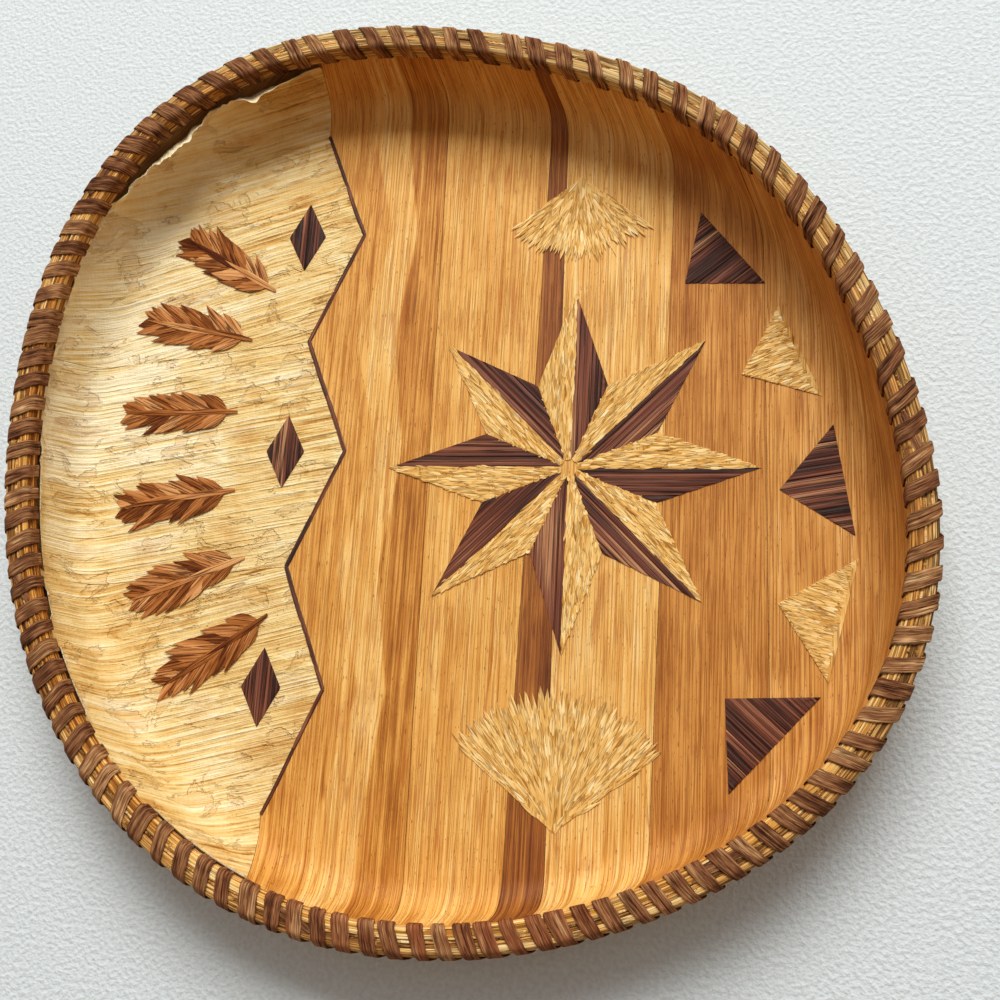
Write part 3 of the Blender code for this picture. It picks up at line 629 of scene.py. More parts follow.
def strand_hoop(name, insets, heights, seed, strand, relief, kind, node):
    """Bundle of long strands bent to the rim: a rounded ring whose skin is split along its length.

    Each strand is this wide and swells to the relief in its middle by one minus the square of the way from it.
    It changes height and tone at joints of its own, and the whole hoop wanders a little along the rim.
    """
    width, height = insets[1] - insets[0], heights[1] - heights[0]
    around = int(2 * (width + height) / SKIN_STEP)
    across, up, out_across, out_up, girth = rounded_section(width - 2 * relief, height - 2 * relief, around)
    lengths = (RIM_LENGTH * np.arange(HOOP_STEPS) / HOOP_STEPS)[:, None]
    chance = dice(seed)
    place = girth[None, :] / strand + 0.55 * rough(lengths * 14, 0.0, seed, 2)
    number = np.floor(place).astype(int)
    middle = 2 * (place - number) - 1
    joint_shift = 9.7 * chance.random(STRAND_CHANCES)[number % STRAND_CHANCES]
    joint = np.floor(lengths / JOINT_SPACING + joint_shift).astype(int)
    luck = chance.random((STRAND_CHANCES, JOINT_CHANCES))[number % STRAND_CHANCES, joint % JOINT_CHANCES]
    skin = relief * (1.0 - middle ** 2 + 1.5 * (luck - 0.5)) + 0.00004 * rough(lengths * 300, girth * 2500, seed + 2, 2)
    wander = 0.00012 * rough(lengths * 22, 0.0, seed + 3, 2)
    inset = (insets[0] + insets[1]) / 2 + across + out_across * skin + wander
    level = (heights[0] + heights[1]) / 2 + up + out_up * skin + 0.6 * wander
    inset, level = bundle_corners(inset, level, skin - relief)
    rim, normals = rim_at(lengths[:, 0])
    points = np.concatenate([rim[:, None] - inset[..., None] * normals[:, None], level[..., None]], axis=-1)
    # Painted shade: darker in the gaps between strands
    tone = 0.52 + 0.75 * (luck - 0.5) - 0.32 * np.clip(np.abs(middle) * 5 - 4, 0, 1)
    tone += 0.5 * rough(lengths * 30, girth * 60, seed + 4, 3) + round_rim(HOOP_TONES, lengths)
    laid = np.stack(np.broadcast_arrays(girth[None, :] + 0.05 * seed, lengths + 0.31 * luck), axis=-1)
    piece(name, points, grid_faces(HOOP_STEPS, around, True, True), kind, node, laid, np.clip(tone, 0, 1),
          fresh=np.clip(round_rim(HOOP_WEAR, lengths) * (0.75 + 0.5 * luck), 0, 1))


def make_hoops():
    """One hoop of cane inside, and outside it three splints, each a third of its height, one over another."""
    strand_hoop("inner_cane_hoop", INNER_HOOP, (HOOP_FOOT, HOOP_TOP), 1, 0.00105, 0.00013, "cane", "inner_rim_hoop")
    row = HOOP_HEIGHT / len(SPLINTS)
    for number, (strand, drop) in enumerate(SPLINTS):
        heights = (HOOP_FOOT + number * row + SPLINT_GAP, HOOP_FOOT + (number + 1) * row - SPLINT_GAP - drop)
        strand_hoop("rim_splints_%d" % (number + 1), OUTER_HOOP, heights, 4 + number, strand, 0.00017, "splint",
                    "outer_rim_splint_%d" % (number + 1))


# The lashings' turns passed at each length along the rim: the sum of one over their spacing, at the middles
# of short steps
PITCH_STEPS = 2000
ALONG_RIM = np.linspace(0.0, RIM_LENGTH, PITCH_STEPS + 1)
STEP_MIDDLES = ALONG_RIM[:-1] + RIM_LENGTH / (2 * PITCH_STEPS)
TURNS_PASSED = np.concatenate([[0.0], np.cumsum(1 / round_rim(PITCH_SHARES, STEP_MIDDLES))])
TURNS_PASSED *= LASH_TURNS / TURNS_PASSED[-1]


def lashing_path():
    """Closed path round both hoops from the slit in the mat, its corners cut and then eased by averaging.

    Gives its points, its girth and where along it the middle of the top is.
    """
    low, high = LASHED[0] - LASHING_GAP, LASHED[1] + LASHING_GAP
    foot, top = HOOP_FOOT - LASHING_GAP, HOOP_TOP + LASHING_GAP
    cut, shoulder = CORNER_CUT, SHOULDER_CUT
    corners = np.array([(low + cut, foot), (high - cut, foot), (high, foot + cut), (high, top - cut), (high - cut, top),
                        (low + shoulder, top), (low, top - shoulder), (low, foot + cut)])
    closed = np.vstack([corners, corners[:1]])
    reach = np.concatenate([[0.0], np.cumsum(np.linalg.norm(np.diff(closed, axis=0), axis=1))])
    fine = np.linspace(0.0, reach[-1], PATH_STEPS, endpoint=False)
    path = np.stack([np.interp(fine, reach, closed[:, k]) for k in (0, 1)], axis=1)
    smooth = sum(np.roll(path, k, axis=0) for k in range(-PATH_EASED, PATH_EASED + 1)) / (2 * PATH_EASED + 1)
    pick = (np.arange(TURN_SAMPLES) * PATH_STEPS / TURN_SAMPLES).astype(int)
    return smooth[pick], reach[-1], ((high - low) * 1.5 + top - foot) / reach[-1]


def lashing_strip(number):
    """One bark strip wound round the rim as an unbroken helix: stringy, of changing width and slant.

    Its place along the rim is where its turns bring it, plus a sine of the way round that carries it over the
    top, plus slow drifts. Its skin is a crown with a bevelled edge, raised by strings and folds, less a groove
    where it is split.
    """
    per_strip = LASH_TURNS // LASH_STRIPS
    path, girth, top_place = lashing_path()
    steps = np.arange(TURN_SAMPLES * per_strip)
    turns = number * per_strip + steps / TURN_SAMPLES
    ahead = np.roll(path, -1, axis=0) - np.roll(path, 1, axis=0)
    out_of = np.stack([ahead[:, 1], -ahead[:, 0]], axis=1) / np.linalg.norm(ahead, axis=1)[:, None]
    out_of *= np.sign(np.einsum("ij,ij->i", out_of, path - path.mean(axis=0)))[:, None]
    section, outward = path[steps % TURN_SAMPLES], out_of[steps % TURN_SAMPLES]
    part = (steps % TURN_SAMPLES) / TURN_SAMPLES
    way = part - top_place
    plain = np.interp(turns, TURNS_PASSED, ALONG_RIM)
    pitch = round_rim(PITCH_SHARES, plain) * RIM_LENGTH / LASH_TURNS
    # The turn it belongs to is counted from the slit, so each turn's chance values hold over its top
    turn_number = np.floor(turns).astype(int)
    slant_luck, split_luck, tone_luck, red_luck = (dice(seed).random(LASH_TURNS + 1) for seed in (33, 34, 30, 35))
    slant = round_rim(TOP_SHARES, plain) + 0.5 * (slant_luck[turn_number] - 0.5)
    sway = pitch * (slant * np.sin(2 * math.pi * way) / (2 * math.pi) + 0.38 * (drift(turns * 0.97, seed=3) - 0.5)
                    + 0.12 * (drift(turns * 2.6, seed=4) - 0.5))
    half = LASHING_HALF * round_rim(WIDTH_SHARES, plain) * (
        1 + 0.40 * (drift(turns * 0.8, seed=5) - 0.5) + 0.22 * (drift(turns * 3.7, seed=6) - 0.5))
    # Pinched where it goes through the slit, widest over the outer shoulder and narrow at both its ends
    half *= 0.90 - 0.16 * np.cos(2 * math.pi * (part - 0.05))
    half *= np.clip(0.25 + 0.75 * np.minimum(steps, len(steps) - 1 - steps) / (0.30 * TURN_SAMPLES), 0.25, 1.0)
    # q is the share of the way from the strip's middle to its edges, and t the turns at every point
    share = np.concatenate([np.linspace(-1, 1, LASHING_ACROSS), [0.7, -0.7]])
    top = np.arange(len(share)) < LASHING_ACROSS
    q = np.broadcast_to(share, (len(steps), len(share)))
    t = np.broadcast_to(turns[:, None], q.shape)
    ragged = 1 + (0.09 * rough(t * 46, np.sign(q) * 3, seed=7) + 0.05 * rough(t * 9, q, seed=17)) * (np.abs(q) > 0.6)
    strings = rough(q * 7.0 + 1.2 * drift(t * 4, seed=8), t * 3.0, seed=9, layers=2)
    folds = rough(q * 1.6 + 0.8 * drift(t * 1.5, seed=18), t * 1.2, seed=19, layers=2)
    split = (split_luck[np.floor(t).astype(int)] > 0.74) * 1.0
    groove = split * np.exp(-((q - 0.6 * (drift(t * 0.9, seed=13) - 0.5)) / 0.09) ** 2)
    crown = LASHING_THICK + 0.00008 * q ** 2 - 0.00026 * np.abs(q) ** 12
    skin = crown + 0.00007 * strings + 0.00007 * folds - 0.00042 * groove
    thick = np.where(top, np.minimum(skin, LASHING_MOST), 0.0)
    rim, normals = rim_at(plain + sway)
    tangents = np.column_stack([-normals[:, 1], normals[:, 0]])
    inset = section[:, :1] + thick * outward[:, :1]
    height = section[:, 1:] + thick * outward[:, 1:]
    offset = q * ragged * half[:, None]
    plan = rim[:, None] - inset[..., None] * normals[:, None] + offset[..., None] * tangents[:, None]
    laid = np.stack([offset + 0.021 * np.floor(t), np.broadcast_to(girth * turns[:, None], q.shape)], axis=-1)
    luck = tone_luck[turn_number][:, None]
    # Painted shade: darker in the groove where it is split and along its bevelled edges
    tone = 0.25 + 0.50 * luck + 0.20 * strings + 0.12 * folds - 0.6 * groove - 0.22 * (np.abs(q) > 0.92)
    # Redder bark was used along one stretch of the rim, on some turns more than others
    near_red = np.exp(-((plain - RED_STRETCH[0]) / RED_STRETCH[1]) ** 2)
    redness = near_red * (0.35 + 0.65 * (red_luck > 0.35)[turn_number])
    faces, caps = tube_faces(1, len(steps), len(share))
    piece("bark_lashing_%d" % (number + 1), np.concatenate([plan, height[..., None]], axis=-1), faces, "lashing",
          "lashing_strip_%d" % (number + 1), laid, np.clip(tone, 0, 1), caps, fresh=np.repeat(redness, len(share)))


def lashing_tails():
    """Where one strip ends and the next begins, its end lies along the rim under the neighbouring turns."""
    for number in range(LASH_STRIPS):
        start = float(np.interp(number * LASH_TURNS / LASH_STRIPS, TURNS_PASSED, ALONG_RIM))
        place, normals = rim_at(start + np.array(TAIL_REACH))
        ends = place - dice(270 + number).uniform(*TAIL_INSETS, 2)[:, None] * normals
        slips("bark_lashing_end_%d" % (number + 1), ends[:1], ends[1:], [TAIL_WIDTH], [0.4], TAIL, "lashing",
              "lashing_strip_%d" % (number + 1), 280 + number, base=HOOP_TOP - 0.0002, thickness=0.0004,
              tip_lift=0.0002, bow=0.0006, fresh=0.0)


# Plaited dish

# The plait: the cane's width, the points along the grid's side, the cane's crown and how far in from the
# outside its lowest places lie, how many canes have a tone of their own, and the rings of the inner face, with
# how far they go on past the bend
CANE_WIDTH = 0.0058
PLAIT_SIDE = 288
CANE_CROWN = 0.00042
CROWN_LEVEL = 0.00052
CANE_CHANCES = 997
INNER_RINGS = 9
PAST_BEND = 0.0010

# The mat's cut edge between the hoops: its points round the rim, its foot and top, how far it goes in under
# the hoops' sides, and how much its two corners are taken off
EDGE_STEPS = 1400
EDGE_FOOT, EDGE_TOP = 0.0302, 0.0408
EDGE_TUCK = 0.0002
EDGE_BEVEL = (0.0003, 0.0005)


def arched(away):
    """Height share over a flat cane: the root of one minus the fourth power of twice the way from its middle."""
    return np.sqrt(np.maximum(1 - (2 * np.abs(away)) ** 4, 0.0))


def plaited_mat():
    """Plait of flat cane at 45 degrees, over two and under two, as a height on a square grid.

    The square is pressed to a round by u * sqrt(1 - v^2 / 2), then stretched to the rim's own outline. The
    smooth inner face is rings from the same border down the wall and over the floor.
    """
    side = PLAIT_SIDE
    u, v = np.meshgrid(np.linspace(-1, 1, side), np.linspace(-1, 1, side), indexing="ij")
    x, y = u * np.sqrt(1 - v * v / 2), v * np.sqrt(1 - u * u / 2)
    radius, turn = np.hypot(x, y), np.arctan2(y, x)
    edge = RIM_POINTS - (BEND_INSET - wall_reach(0.0, WALL_KINK)) * RIM_NORMALS
    edge_turn = np.arctan2(edge[:, 1], edge[:, 0])
    order = np.argsort(edge_turn)
    limit = np.interp(turn, edge_turn[order], np.hypot(edge[order, 0], edge[order, 1]), period=2 * math.pi)
    x, y = radius * limit * np.cos(turn), radius * limit * np.sin(turn)
    a = (x + y) / math.sqrt(2) / CANE_WIDTH + 0.15 * rough(x * 30, y * 30, 21)
    b = (y - x) / math.sqrt(2) / CANE_WIDTH + 0.15 * rough(x * 30, y * 30, 22)
    row, column = np.floor(a), np.floor(b)
    over = (row + column) % 4 < 2
    relief = np.where(over, arched(a - row - 0.5), arched(b - column - 0.5))
    swell = CANE_CROWN * relief + 0.00012 * rough(x * 60, y * 60, 23)
    fade = np.clip((1 - np.maximum(np.abs(u), np.abs(v))) * 30, 0.0, 1.0)
    # The underside stands on the rest plane: the plait is raised inwards from its crown
    outer = on_dish(x, y, 0.0, (CROWN_LEVEL - swell) * fade)
    # Each cane has a tone of its own, by a number that its row or column gives it
    cane = np.where(over, row * 7.0 + 3, column * 5.0 + 40).astype(int)
    cane_tones = dice(31).random(CANE_CHANCES)
    # Painted shade: darker towards each cane's edges, where it meets its neighbours
    tone = np.clip(0.55 * cane_tones[cane % CANE_CHANCES] + 0.55 * relief - 0.1, 0, 1)

    border = grid_border(side, side)
    length, inset = rim_place(x.ravel()[border], y.ravel()[border])
    rim, normals = rim_at(length)
    insets = inset + (BEND_INSET + PAST_BEND - inset) * np.linspace(0, 1, INNER_RINGS)[:, None]
    rings = rim - insets[..., None] * normals
    rings = np.concatenate([rings, rings[-1:] * 0.5, rings[-1:] * 0.01])
    inner = on_dish(rings[..., 0], rings[..., 1], 0.0, MAT_THICKNESS)
    rows = np.vstack([border, side * side + np.arange(len(rings) * len(border)).reshape(len(rings), -1)])
    beside = np.roll(rows, -1, axis=1)
    faces = np.concatenate([grid_faces(side, side),
                            np.stack([rows[:-1], beside[:-1], beside[1:], rows[1:]], axis=-1).reshape(-1, 4)])
    hidden = inner.shape[0] * inner.shape[1]
    laid = np.concatenate([np.stack([x, y], axis=-1).reshape(-1, 2), rings.reshape(-1, 2)])
    piece("plaited_mat", np.concatenate([outer.reshape(-1, 3), inner.reshape(-1, 3)]), faces, "plait",
          "woven_mat_base", laid, np.append(tone.ravel(), np.full(hidden, 0.5)), (rows[-1],),
          on_top=np.append(over.ravel() * 1.0, np.zeros(hidden)))


def mat_edge():
    """The mat's raw edge stands up between the hoops, cut ragged: a ring with a rounded, uneven top."""
    lengths = RIM_LENGTH * np.arange(EDGE_STEPS) / EDGE_STEPS
    place, normals = rim_at(lengths)
    ragged = 0.0007 * rough(lengths * 900, 0.0, 24, 2) + 0.0008 * rough(lengths * 160, 0.0, 25, 2)
    near, far = OUTER_HOOP[1] - EDGE_TUCK, INNER_HOOP[0] + EDGE_TUCK
    foot = np.full(EDGE_STEPS, EDGE_FOOT)
    across, down = EDGE_BEVEL
    top = EDGE_TOP + np.minimum(ragged, 0.0003)
    rows = [(near, foot), (near, top - down), (near + across, top), (far - across, top), (far, top - down),
            (far, foot)]
    points = np.stack([np.column_stack([place - inset * normals, height]) for inset, height in rows], axis=1)
    laid = np.stack(np.broadcast_arrays(lengths[:, None], np.arange(len(rows))[None, :] * 0.002), axis=-1)
    tone = np.repeat(np.clip(0.5 + 0.9 * rough(lengths * 110, 0.0, 26, 3), 0, 1), len(rows))
    piece("mat_edge", points, grid_faces(EDGE_STEPS, len(rows), True, True), "edge", "woven_mat_base", laid, tone)


# Ground sheets of the lining

# The zigzag between husk and veneer, the slant of the husk's seams over half the tray, the veneer's seams
# with their lean, and its tones from left to right
ZIGZAG_SHARE = -0.314
ZIGZAG_LEGS = 6
ZIGZAG_DEPTH = 0.0110
ZIGZAG_MARGIN = 0.0050
HUSK_SLANT = 0.0160
CUT_OVERRUN = 0.0200
SEAMS = MEAN_RADIUS * np.array([-0.061, 0.167, 0.228, 0.456, 0.669])
SEAM_LEAN = 0.0030
VENEERS = ("tan", "tan", "brown", "tan", "orange", "orange")

# What lies on the husk: a lozenge's halves and its gap to the zigzag, and the leaves' first direction and
# spread in degrees, their gap to the wall, what they leave free before the zigzag and half their width
LOZENGE_HALF = np.array([0.0090, 0.0170])
LOZENGE_GAP = 0.0190
LEAVES = 6
LEAF_FAN = (142.0, 76.0)
LEAF_GAP = 0.0080
LEAF_CLEAR = 0.0300
LEAF_HALF = 0.0125

# The spacing of the husk's rows and the number of its columns, what is trimmed off its two ends, its shortest
# row, and the way its veins run in degrees, with each sheet's own difference
HUSK_ROW, HUSK_COLUMNS = 0.00036, 120
HUSK_TRIM, SHORTEST_ROW = 0.0004, 0.0004
VEIN_WAY, VEIN_CHANGES = 12.0, (3.0, -2.0, 4.0)

# The husk's top edge: how far it stands out and how deep down that starts. Its torn lip: where its middle is
# round the tray and half its stretch, in degrees, how far it stands out and how deep down that starts
EDGE_LIFT, LIFT_DEPTH = 0.0046, 0.0060
LIP_TURN, LIP_SPREAD, LIP_LIFT, LIP_DEPTH = 128.0, 19.0, 0.0072, 0.0110

# The spacing of the veneer's columns and the number of its rows, its trim at the right-hand edge, where the
# search for its ends starts, and the width of the strips of one tone
VENEER_COLUMN, VENEER_ROWS = 0.0012, 190
VENEER_TRIM = 0.0006
FIRST_END = 0.19
VENEER_STRIP = 0.030


def floor_end(across, side, margin):
    """Where a line straight up the plan comes this near to the foot of the wall, on one side."""
    edge = RIM_POINTS - (BEND_INSET + margin) * RIM_NORMALS
    edge = edge[edge[:, 1] * side > 0]
    return float(edge[np.argmin(np.abs(edge[:, 0] - across)), 1])


def zigzag_line():
    """Corners to the left and right of a line up the plan by turns, evenly from wall to wall."""
    middle = MEAN_RADIUS * ZIGZAG_SHARE
    foot, head = (floor_end(middle - ZIGZAG_DEPTH, side, ZIGZAG_MARGIN) for side in (-1, 1))
    return np.array([(middle + (1 if leg % 2 else -1) * ZIGZAG_DEPTH, foot + (head - foot) * leg / ZIGZAG_LEGS)
                     for leg in range(ZIGZAG_LEGS + 1)])


ZIGZAG = zigzag_line()
LOZENGE_PLACES = np.array([(across - LOZENGE_GAP - LOZENGE_HALF[0], height) for across, height in ZIGZAG[1::2]])


def leaf_axes():
    """Stalk end and outward heading of each leaf, from the stretch of wall that it points to, and its length."""
    point, normal = rim_towards(math.pi)
    length = ZIGZAG[0, 0] - (point - (BEND_INSET + LEAF_GAP) * normal)[0] - LEAF_CLEAR
    places = [rim_towards(math.radians(LEAF_FAN[0] + LEAF_FAN[1] * number / (LEAVES - 1))) for number in range(LEAVES)]
    return [(point - (BEND_INSET + LEAF_GAP + length) * normal, normal) for point, normal in places], length


def pressed_flat(x, y):
    """1 under the leaves and lozenges, where the glue holds the husk flat, falling to 0 a little outside."""
    away = [np.abs(x - place[0]) / LOZENGE_HALF[0] + np.abs(y - place[1]) / LOZENGE_HALF[1] - 1
            for place in LOZENGE_PLACES]
    axes, length = leaf_axes()
    for stalk, heading in axes:
        along = (x - stalk[0]) * heading[0] + (y - stalk[1]) * heading[1] - length / 2
        across = (y - stalk[1]) * heading[0] - (x - stalk[0]) * heading[1]
        away.append(np.hypot(along / (length / 2), across / LEAF_HALF) - 1)
    return np.clip(1 - 5 * np.min(away, axis=0), 0, 1)


def husk_sheet(number):
    """Rows laid along the slanting seams, from the wall's top edge to the zigzag, raised in long crinkles.

    The veins are ridges along the husk, torn flakes stand up at their edges and slits run with the veins.
    """
    reach = MEAN_RADIUS + CUT_OVERRUN
    turn = math.atan2(HUSK_SLANT, reach + ZIGZAG[0, 0])
    seam = np.vstack([[(ZIGZAG[0, 0], -reach)], ZIGZAG, [(ZIGZAG[-1, 0], reach)]])
    zig_along, zig_across = turned(seam[:, 0], seam[:, 1], turn)
    left = LAID_EDGE[LAID_EDGE[:, 0] < ZIGZAG[0, 0]]
    left_across = turned(left[:, 0], left[:, 1], turn)[1]
    cuts = [left_across.min() + HUSK_TRIM, zig_across[3] - GLUE_LINE, zig_across[5] - GLUE_LINE,
            left_across.max() - HUSK_TRIM]
    low, high = cuts[number], cuts[number + 1]
    low += 2 * GLUE_LINE if number else 0.0
    across = np.linspace(low, high, int((high - low) / HUSK_ROW))[:, None]
    start, end = edge_ends(turn, across)
    end = np.minimum(end, np.interp(across, zig_across, zig_along) - GLUE_LINE)
    end = np.maximum(end, start + SHORTEST_ROW)
    along = start + (end - start) * np.linspace(0, 1, HUSK_COLUMNS)[None, :]
    x, y = turned(along, across, -turn)
    vein_along, vein_across = turned(x, y, math.radians(VEIN_WAY + VEIN_CHANGES[number]))
    bent = vein_across + 0.0012 * rough(vein_along * 45, vein_across * 25, 50 + number, 2)
    ridges = rough(bent * 850, vein_along * 22, 41 + number, 2)
    crinkle = rough(vein_along * 60, bent * 230, 44 + number, 3)
    swell = rough(vein_along * 22, bent * 55, 47 + number, 2)
    torn = np.clip(rough(vein_along * 60, bent * 130, 53 + number, 4) * 16 - 3.6, 0, 1)
    slit = np.exp(-(rough(bent * 70, vein_along * 7, 56 + number, 2) / 0.012) ** 2) * np.clip(
        rough(vein_along * 18, bent * 40, 59 + number, 2) * 8 - 0.8, 0, 1)
    # Flatter towards the bottom of the tray, and pressed down under what is glued on it
    flat_part = 0.62 + 0.38 * np.clip((y + 0.06) / 0.12, 0, 1)
    raised = 0.00020 * ridges + 0.00044 * flat_part * crinkle + 0.00030 * swell + 0.00036 * torn - 0.00030 * slit
    raised = raised * (1 - pressed_flat(x, y)) - 0.00005
    # The top edge stands away from the wall here and there, and its torn lip stands out in ragged waves
    down_edge = LINING_REACH - (BEND_INSET - rim_place(x, y)[1])
    near_edge = np.clip(1 - down_edge / LIFT_DEPTH, 0, 1) ** 1.5
    wave = np.clip(rough(y * 24, x * 24, 62 + number, 4) * 6 + 0.2, 0, 1)
    aside = np.abs(np.degrees(np.arctan2(y, x)) - LIP_TURN) / LIP_SPREAD
    torn_stretch = 0.5 - 0.5 * np.cos(math.pi * np.clip((1 - aside) * 2.2, 0, 1))
    curl = np.clip(1 - down_edge / LIP_DEPTH, 0, 1) ** 2.0
    tatter = 0.95 + 0.9 * rough(y * 130, x * 130, 65, 4)
    flap = EDGE_LIFT * near_edge * wave + LIP_LIFT * torn_stretch * curl * tatter
    upper = on_dish(x, y, LINING_LIFT, SHEET + flap + np.maximum(raised, -0.0004))
    lower = on_dish(x, y, LINING_LIFT, flap)
    # Painted shade: darker in the slits, which are also grooved in
    tone = 0.55 + 0.30 * ridges + 0.20 * crinkle - 0.12 * torn - 0.30 * slit
    # Painted light: paler towards the upper left, standing in for light where the wall shades it, and paler along its
    # top edge
    pale = 0.40 * np.clip((-x - 0.100) / 0.05, 0, 1) * np.clip((y + 0.06) / 0.08, 0, 1)
    tone = np.clip(tone + pale - 0.04 + 0.35 * near_edge, 0, 1)
    laid = np.stack([vein_across + 0.3 * number, vein_along], axis=-1)
    shell("straw_husk_%d" % (number + 1), upper, lower, laid, "husk", "husk_sheet_%d" % (number + 1), tone)


def upright_sheet(number):
    """Lines laid up the plan between two leaning seams, each from one top edge of the wall to the other."""
    def seam(index, y):
        """Place across the plan of a seam at each height up it: the zigzag, a leaning line or the far edge."""
        if index < 0:
            return np.interp(y, ZIGZAG[:, 1], ZIGZAG[:, 0]) + GLUE_LINE
        if index >= len(SEAMS):
            return np.full_like(y, LAID_EDGE[:, 0].max() - VENEER_TRIM)
        lean = SEAM_LEAN if index % 2 else -SEAM_LEAN
        return SEAMS[index] + lean * y / (MEAN_RADIUS + CUT_OVERRUN)

    width = (np.append(SEAMS, LAID_EDGE[:, 0].max()) - np.insert(SEAMS, 0, ZIGZAG[0, 0]))[number]
    columns = int(width / VENEER_COLUMN)
    share = np.linspace(0, 1, columns)[None, :]
    gap = GLUE_LINE if number else 0.0
    ends = []
    for pick in (0, 1):
        y = np.full((1, columns), FIRST_END * (1 if pick else -1))
        for _ in range(SLIDES):
            x = seam(number - 1, y) * (1 - share) + seam(number, y) * share + gap * (1 - 2 * share)
            y = edge_ends(math.pi / 2, -x)[pick]
        ends.append(y)
    y = ends[0] + (ends[1] - ends[0]) * np.linspace(0, 1, VENEER_ROWS)[:, None]
    x = (seam(number - 1, y) + gap) * (1 - share) + (seam(number, y) - GLUE_LINE) * share
    waves = 0.00010 * rough(x * 160, y * 12, 61 + number, 2) + 0.00006 * rough(x * 900, y * 20, 71 + number, 2)
    curl = 0.00018 * (np.exp(-share / 0.03 * width / 0.03) + np.exp(-(1 - share) / 0.03 * width / 0.03)) * drift(
        y * 40, share * 2, 81 + number)
    upper = on_dish(x, y, LINING_LIFT, SHEET + waves + curl)
    lower = on_dish(x, y, LINING_LIFT, 0.0 * x)
    # Each sheet is itself strips of unlike tone, cut at chosen places across it
    cuts = np.sort(dice(90 + number).uniform(0, 1, max(1, int(width / VENEER_STRIP))))
    tone = dice(95 + number).uniform(0.15, 0.85, 20)[np.searchsorted(cuts, np.broadcast_to(share, x.shape))]
    shell("palm_veneer_%d" % (number + 1), upper, lower, np.stack([x + 0.4 * number, y], axis=-1), VENEERS[number],
          "upright_veneer_%d" % (number + 1), tone)


# Marquetry

# Straw: the plate under it, the spacing of its slivers across and along, the lean of each in radians, the
# least and most of their lengths and widths, how far before an outline's start the first row begins, and what
# is trimmed off at the outline. A sliver shorter than the last value is left out
PLATE = 0.0003
STRAW_SPACING, STRAW_STEP = 0.00125, 0.0036
STRAW_LEAN = 0.06
STRAW_LENGTH = (0.0085, 0.0130)
FAN_STRAW_LENGTH = (0.0085, 0.0125)
STRAW_WIDTH = (0.0015, 0.0023)
STRAW_LEAD = 0.014
STRAW_TRIM = 0.0002
SHORTEST_STRAW = 0.0022

# Bark splits: their width, and the least and most of their thickness
BARK_WIDTH = 0.0026
BARK_THICKNESS = (0.0005, 0.0008)

# The star, the border along the wall and the fans, with what each keeps clear of the next
STAR_PLACE = MEAN_RADIUS * 0.2535
STAR_POINTS = 8
STAR_HUB = 0.0035
STAR_CLEAR = 0.0072
BORDER_SPREAD = math.radians(80.0)
BORDER_TEETH = 5
BORDER_CLEAR = 0.0045
TOOTH_DEPTH = 0.0260
FAN_SPREAD = math.radians(104.0)
FAN_ROOT_CLEAR, FAN_RIM_CLEAR, FAN_PLATE_CLEAR = 0.0150, 0.0170, 0.0050
FIRST_RING = 0.001
FAN_ARC_POINTS = 25

# A leaf: its pairs of barbs, their splay at the stalk and how much less it is at the tip in degrees, their
# length, plain and added where the leaf is widest, the least and most of their width, and the rib's width
LEAF_PAIRS = 9
BARB_SPLAY = (36.0, 18.0)
BARB_LENGTH = (0.0060, 0.0165)
BARB_WIDTH = (0.0052, 0.0074)
RIB_WIDTH = 0.0034


def left_of(direction):
    """The direction turned a quarter to the left."""
    return np.array([-direction[1], direction[0]])


def line_ends(origin, direction, offsets, polygon):
    """Where parallel lines, at these offsets to the left of the origin, enter and leave a convex outline."""
    corners = polygon - origin
    along, across = corners @ direction, corners @ left_of(direction)
    starts, ends = np.full(len(offsets), np.inf), np.full(len(offsets), -np.inf)
    for a, b, c, d in zip(along, across, np.roll(along, -1), np.roll(across, -1)):
        share = np.where(abs(d - b) < 1e-9, 2.0, (offsets - b) / (d - b if abs(d - b) > 1e-9 else 1.0))
        hit = (share >= 0) & (share <= 1)
        reach = a + (c - a) * share
        starts = np.where(hit & (reach < starts), reach, starts)
        ends = np.where(hit & (reach > ends), reach, ends)
    return starts, ends


def slivers(name, polygon, starts, ends, chance, node, seed):
    """Loose straw slivers over a thin flat plate of the same straw, so that no ground shows between them."""
    count, corners = len(starts), len(polygon)
    points = np.concatenate([np.column_stack([polygon, np.full(corners, z)]) for z in (MOTIF_FOOT, MOTIF_FOOT + PLATE)])
    index = np.arange(corners)
    beside = np.roll(index, -1)
    sides = np.stack([index, beside, beside + corners, index + corners], axis=1)
    clockwise = np.dot(polygon[:, 0], np.roll(polygon[:, 1], -1)) < np.dot(polygon[:, 1], np.roll(polygon[:, 0], -1))
    if clockwise:
        sides = sides[:, ::-1]
    caps = [index[::1 if clockwise else -1], (index + corners)[::-1 if clockwise else 1]]
    # Painted shade: the plate is toned darker than the slivers, for the shade between them
    piece(name + "_backing", points, sides, "straw", node, np.tile(polygon, (2, 1)), 0.35, caps)
    tones = np.clip(chance.normal(0.55, 0.12, count), 0, 1)
    slips(name, starts, ends, chance.uniform(*STRAW_WIDTH, count), tones, SLIVER, "straw", node, seed,
          base=MOTIF_FOOT + 0.0001, thickness=0.00015, tip_lift=0.00050, bow=0.0001)


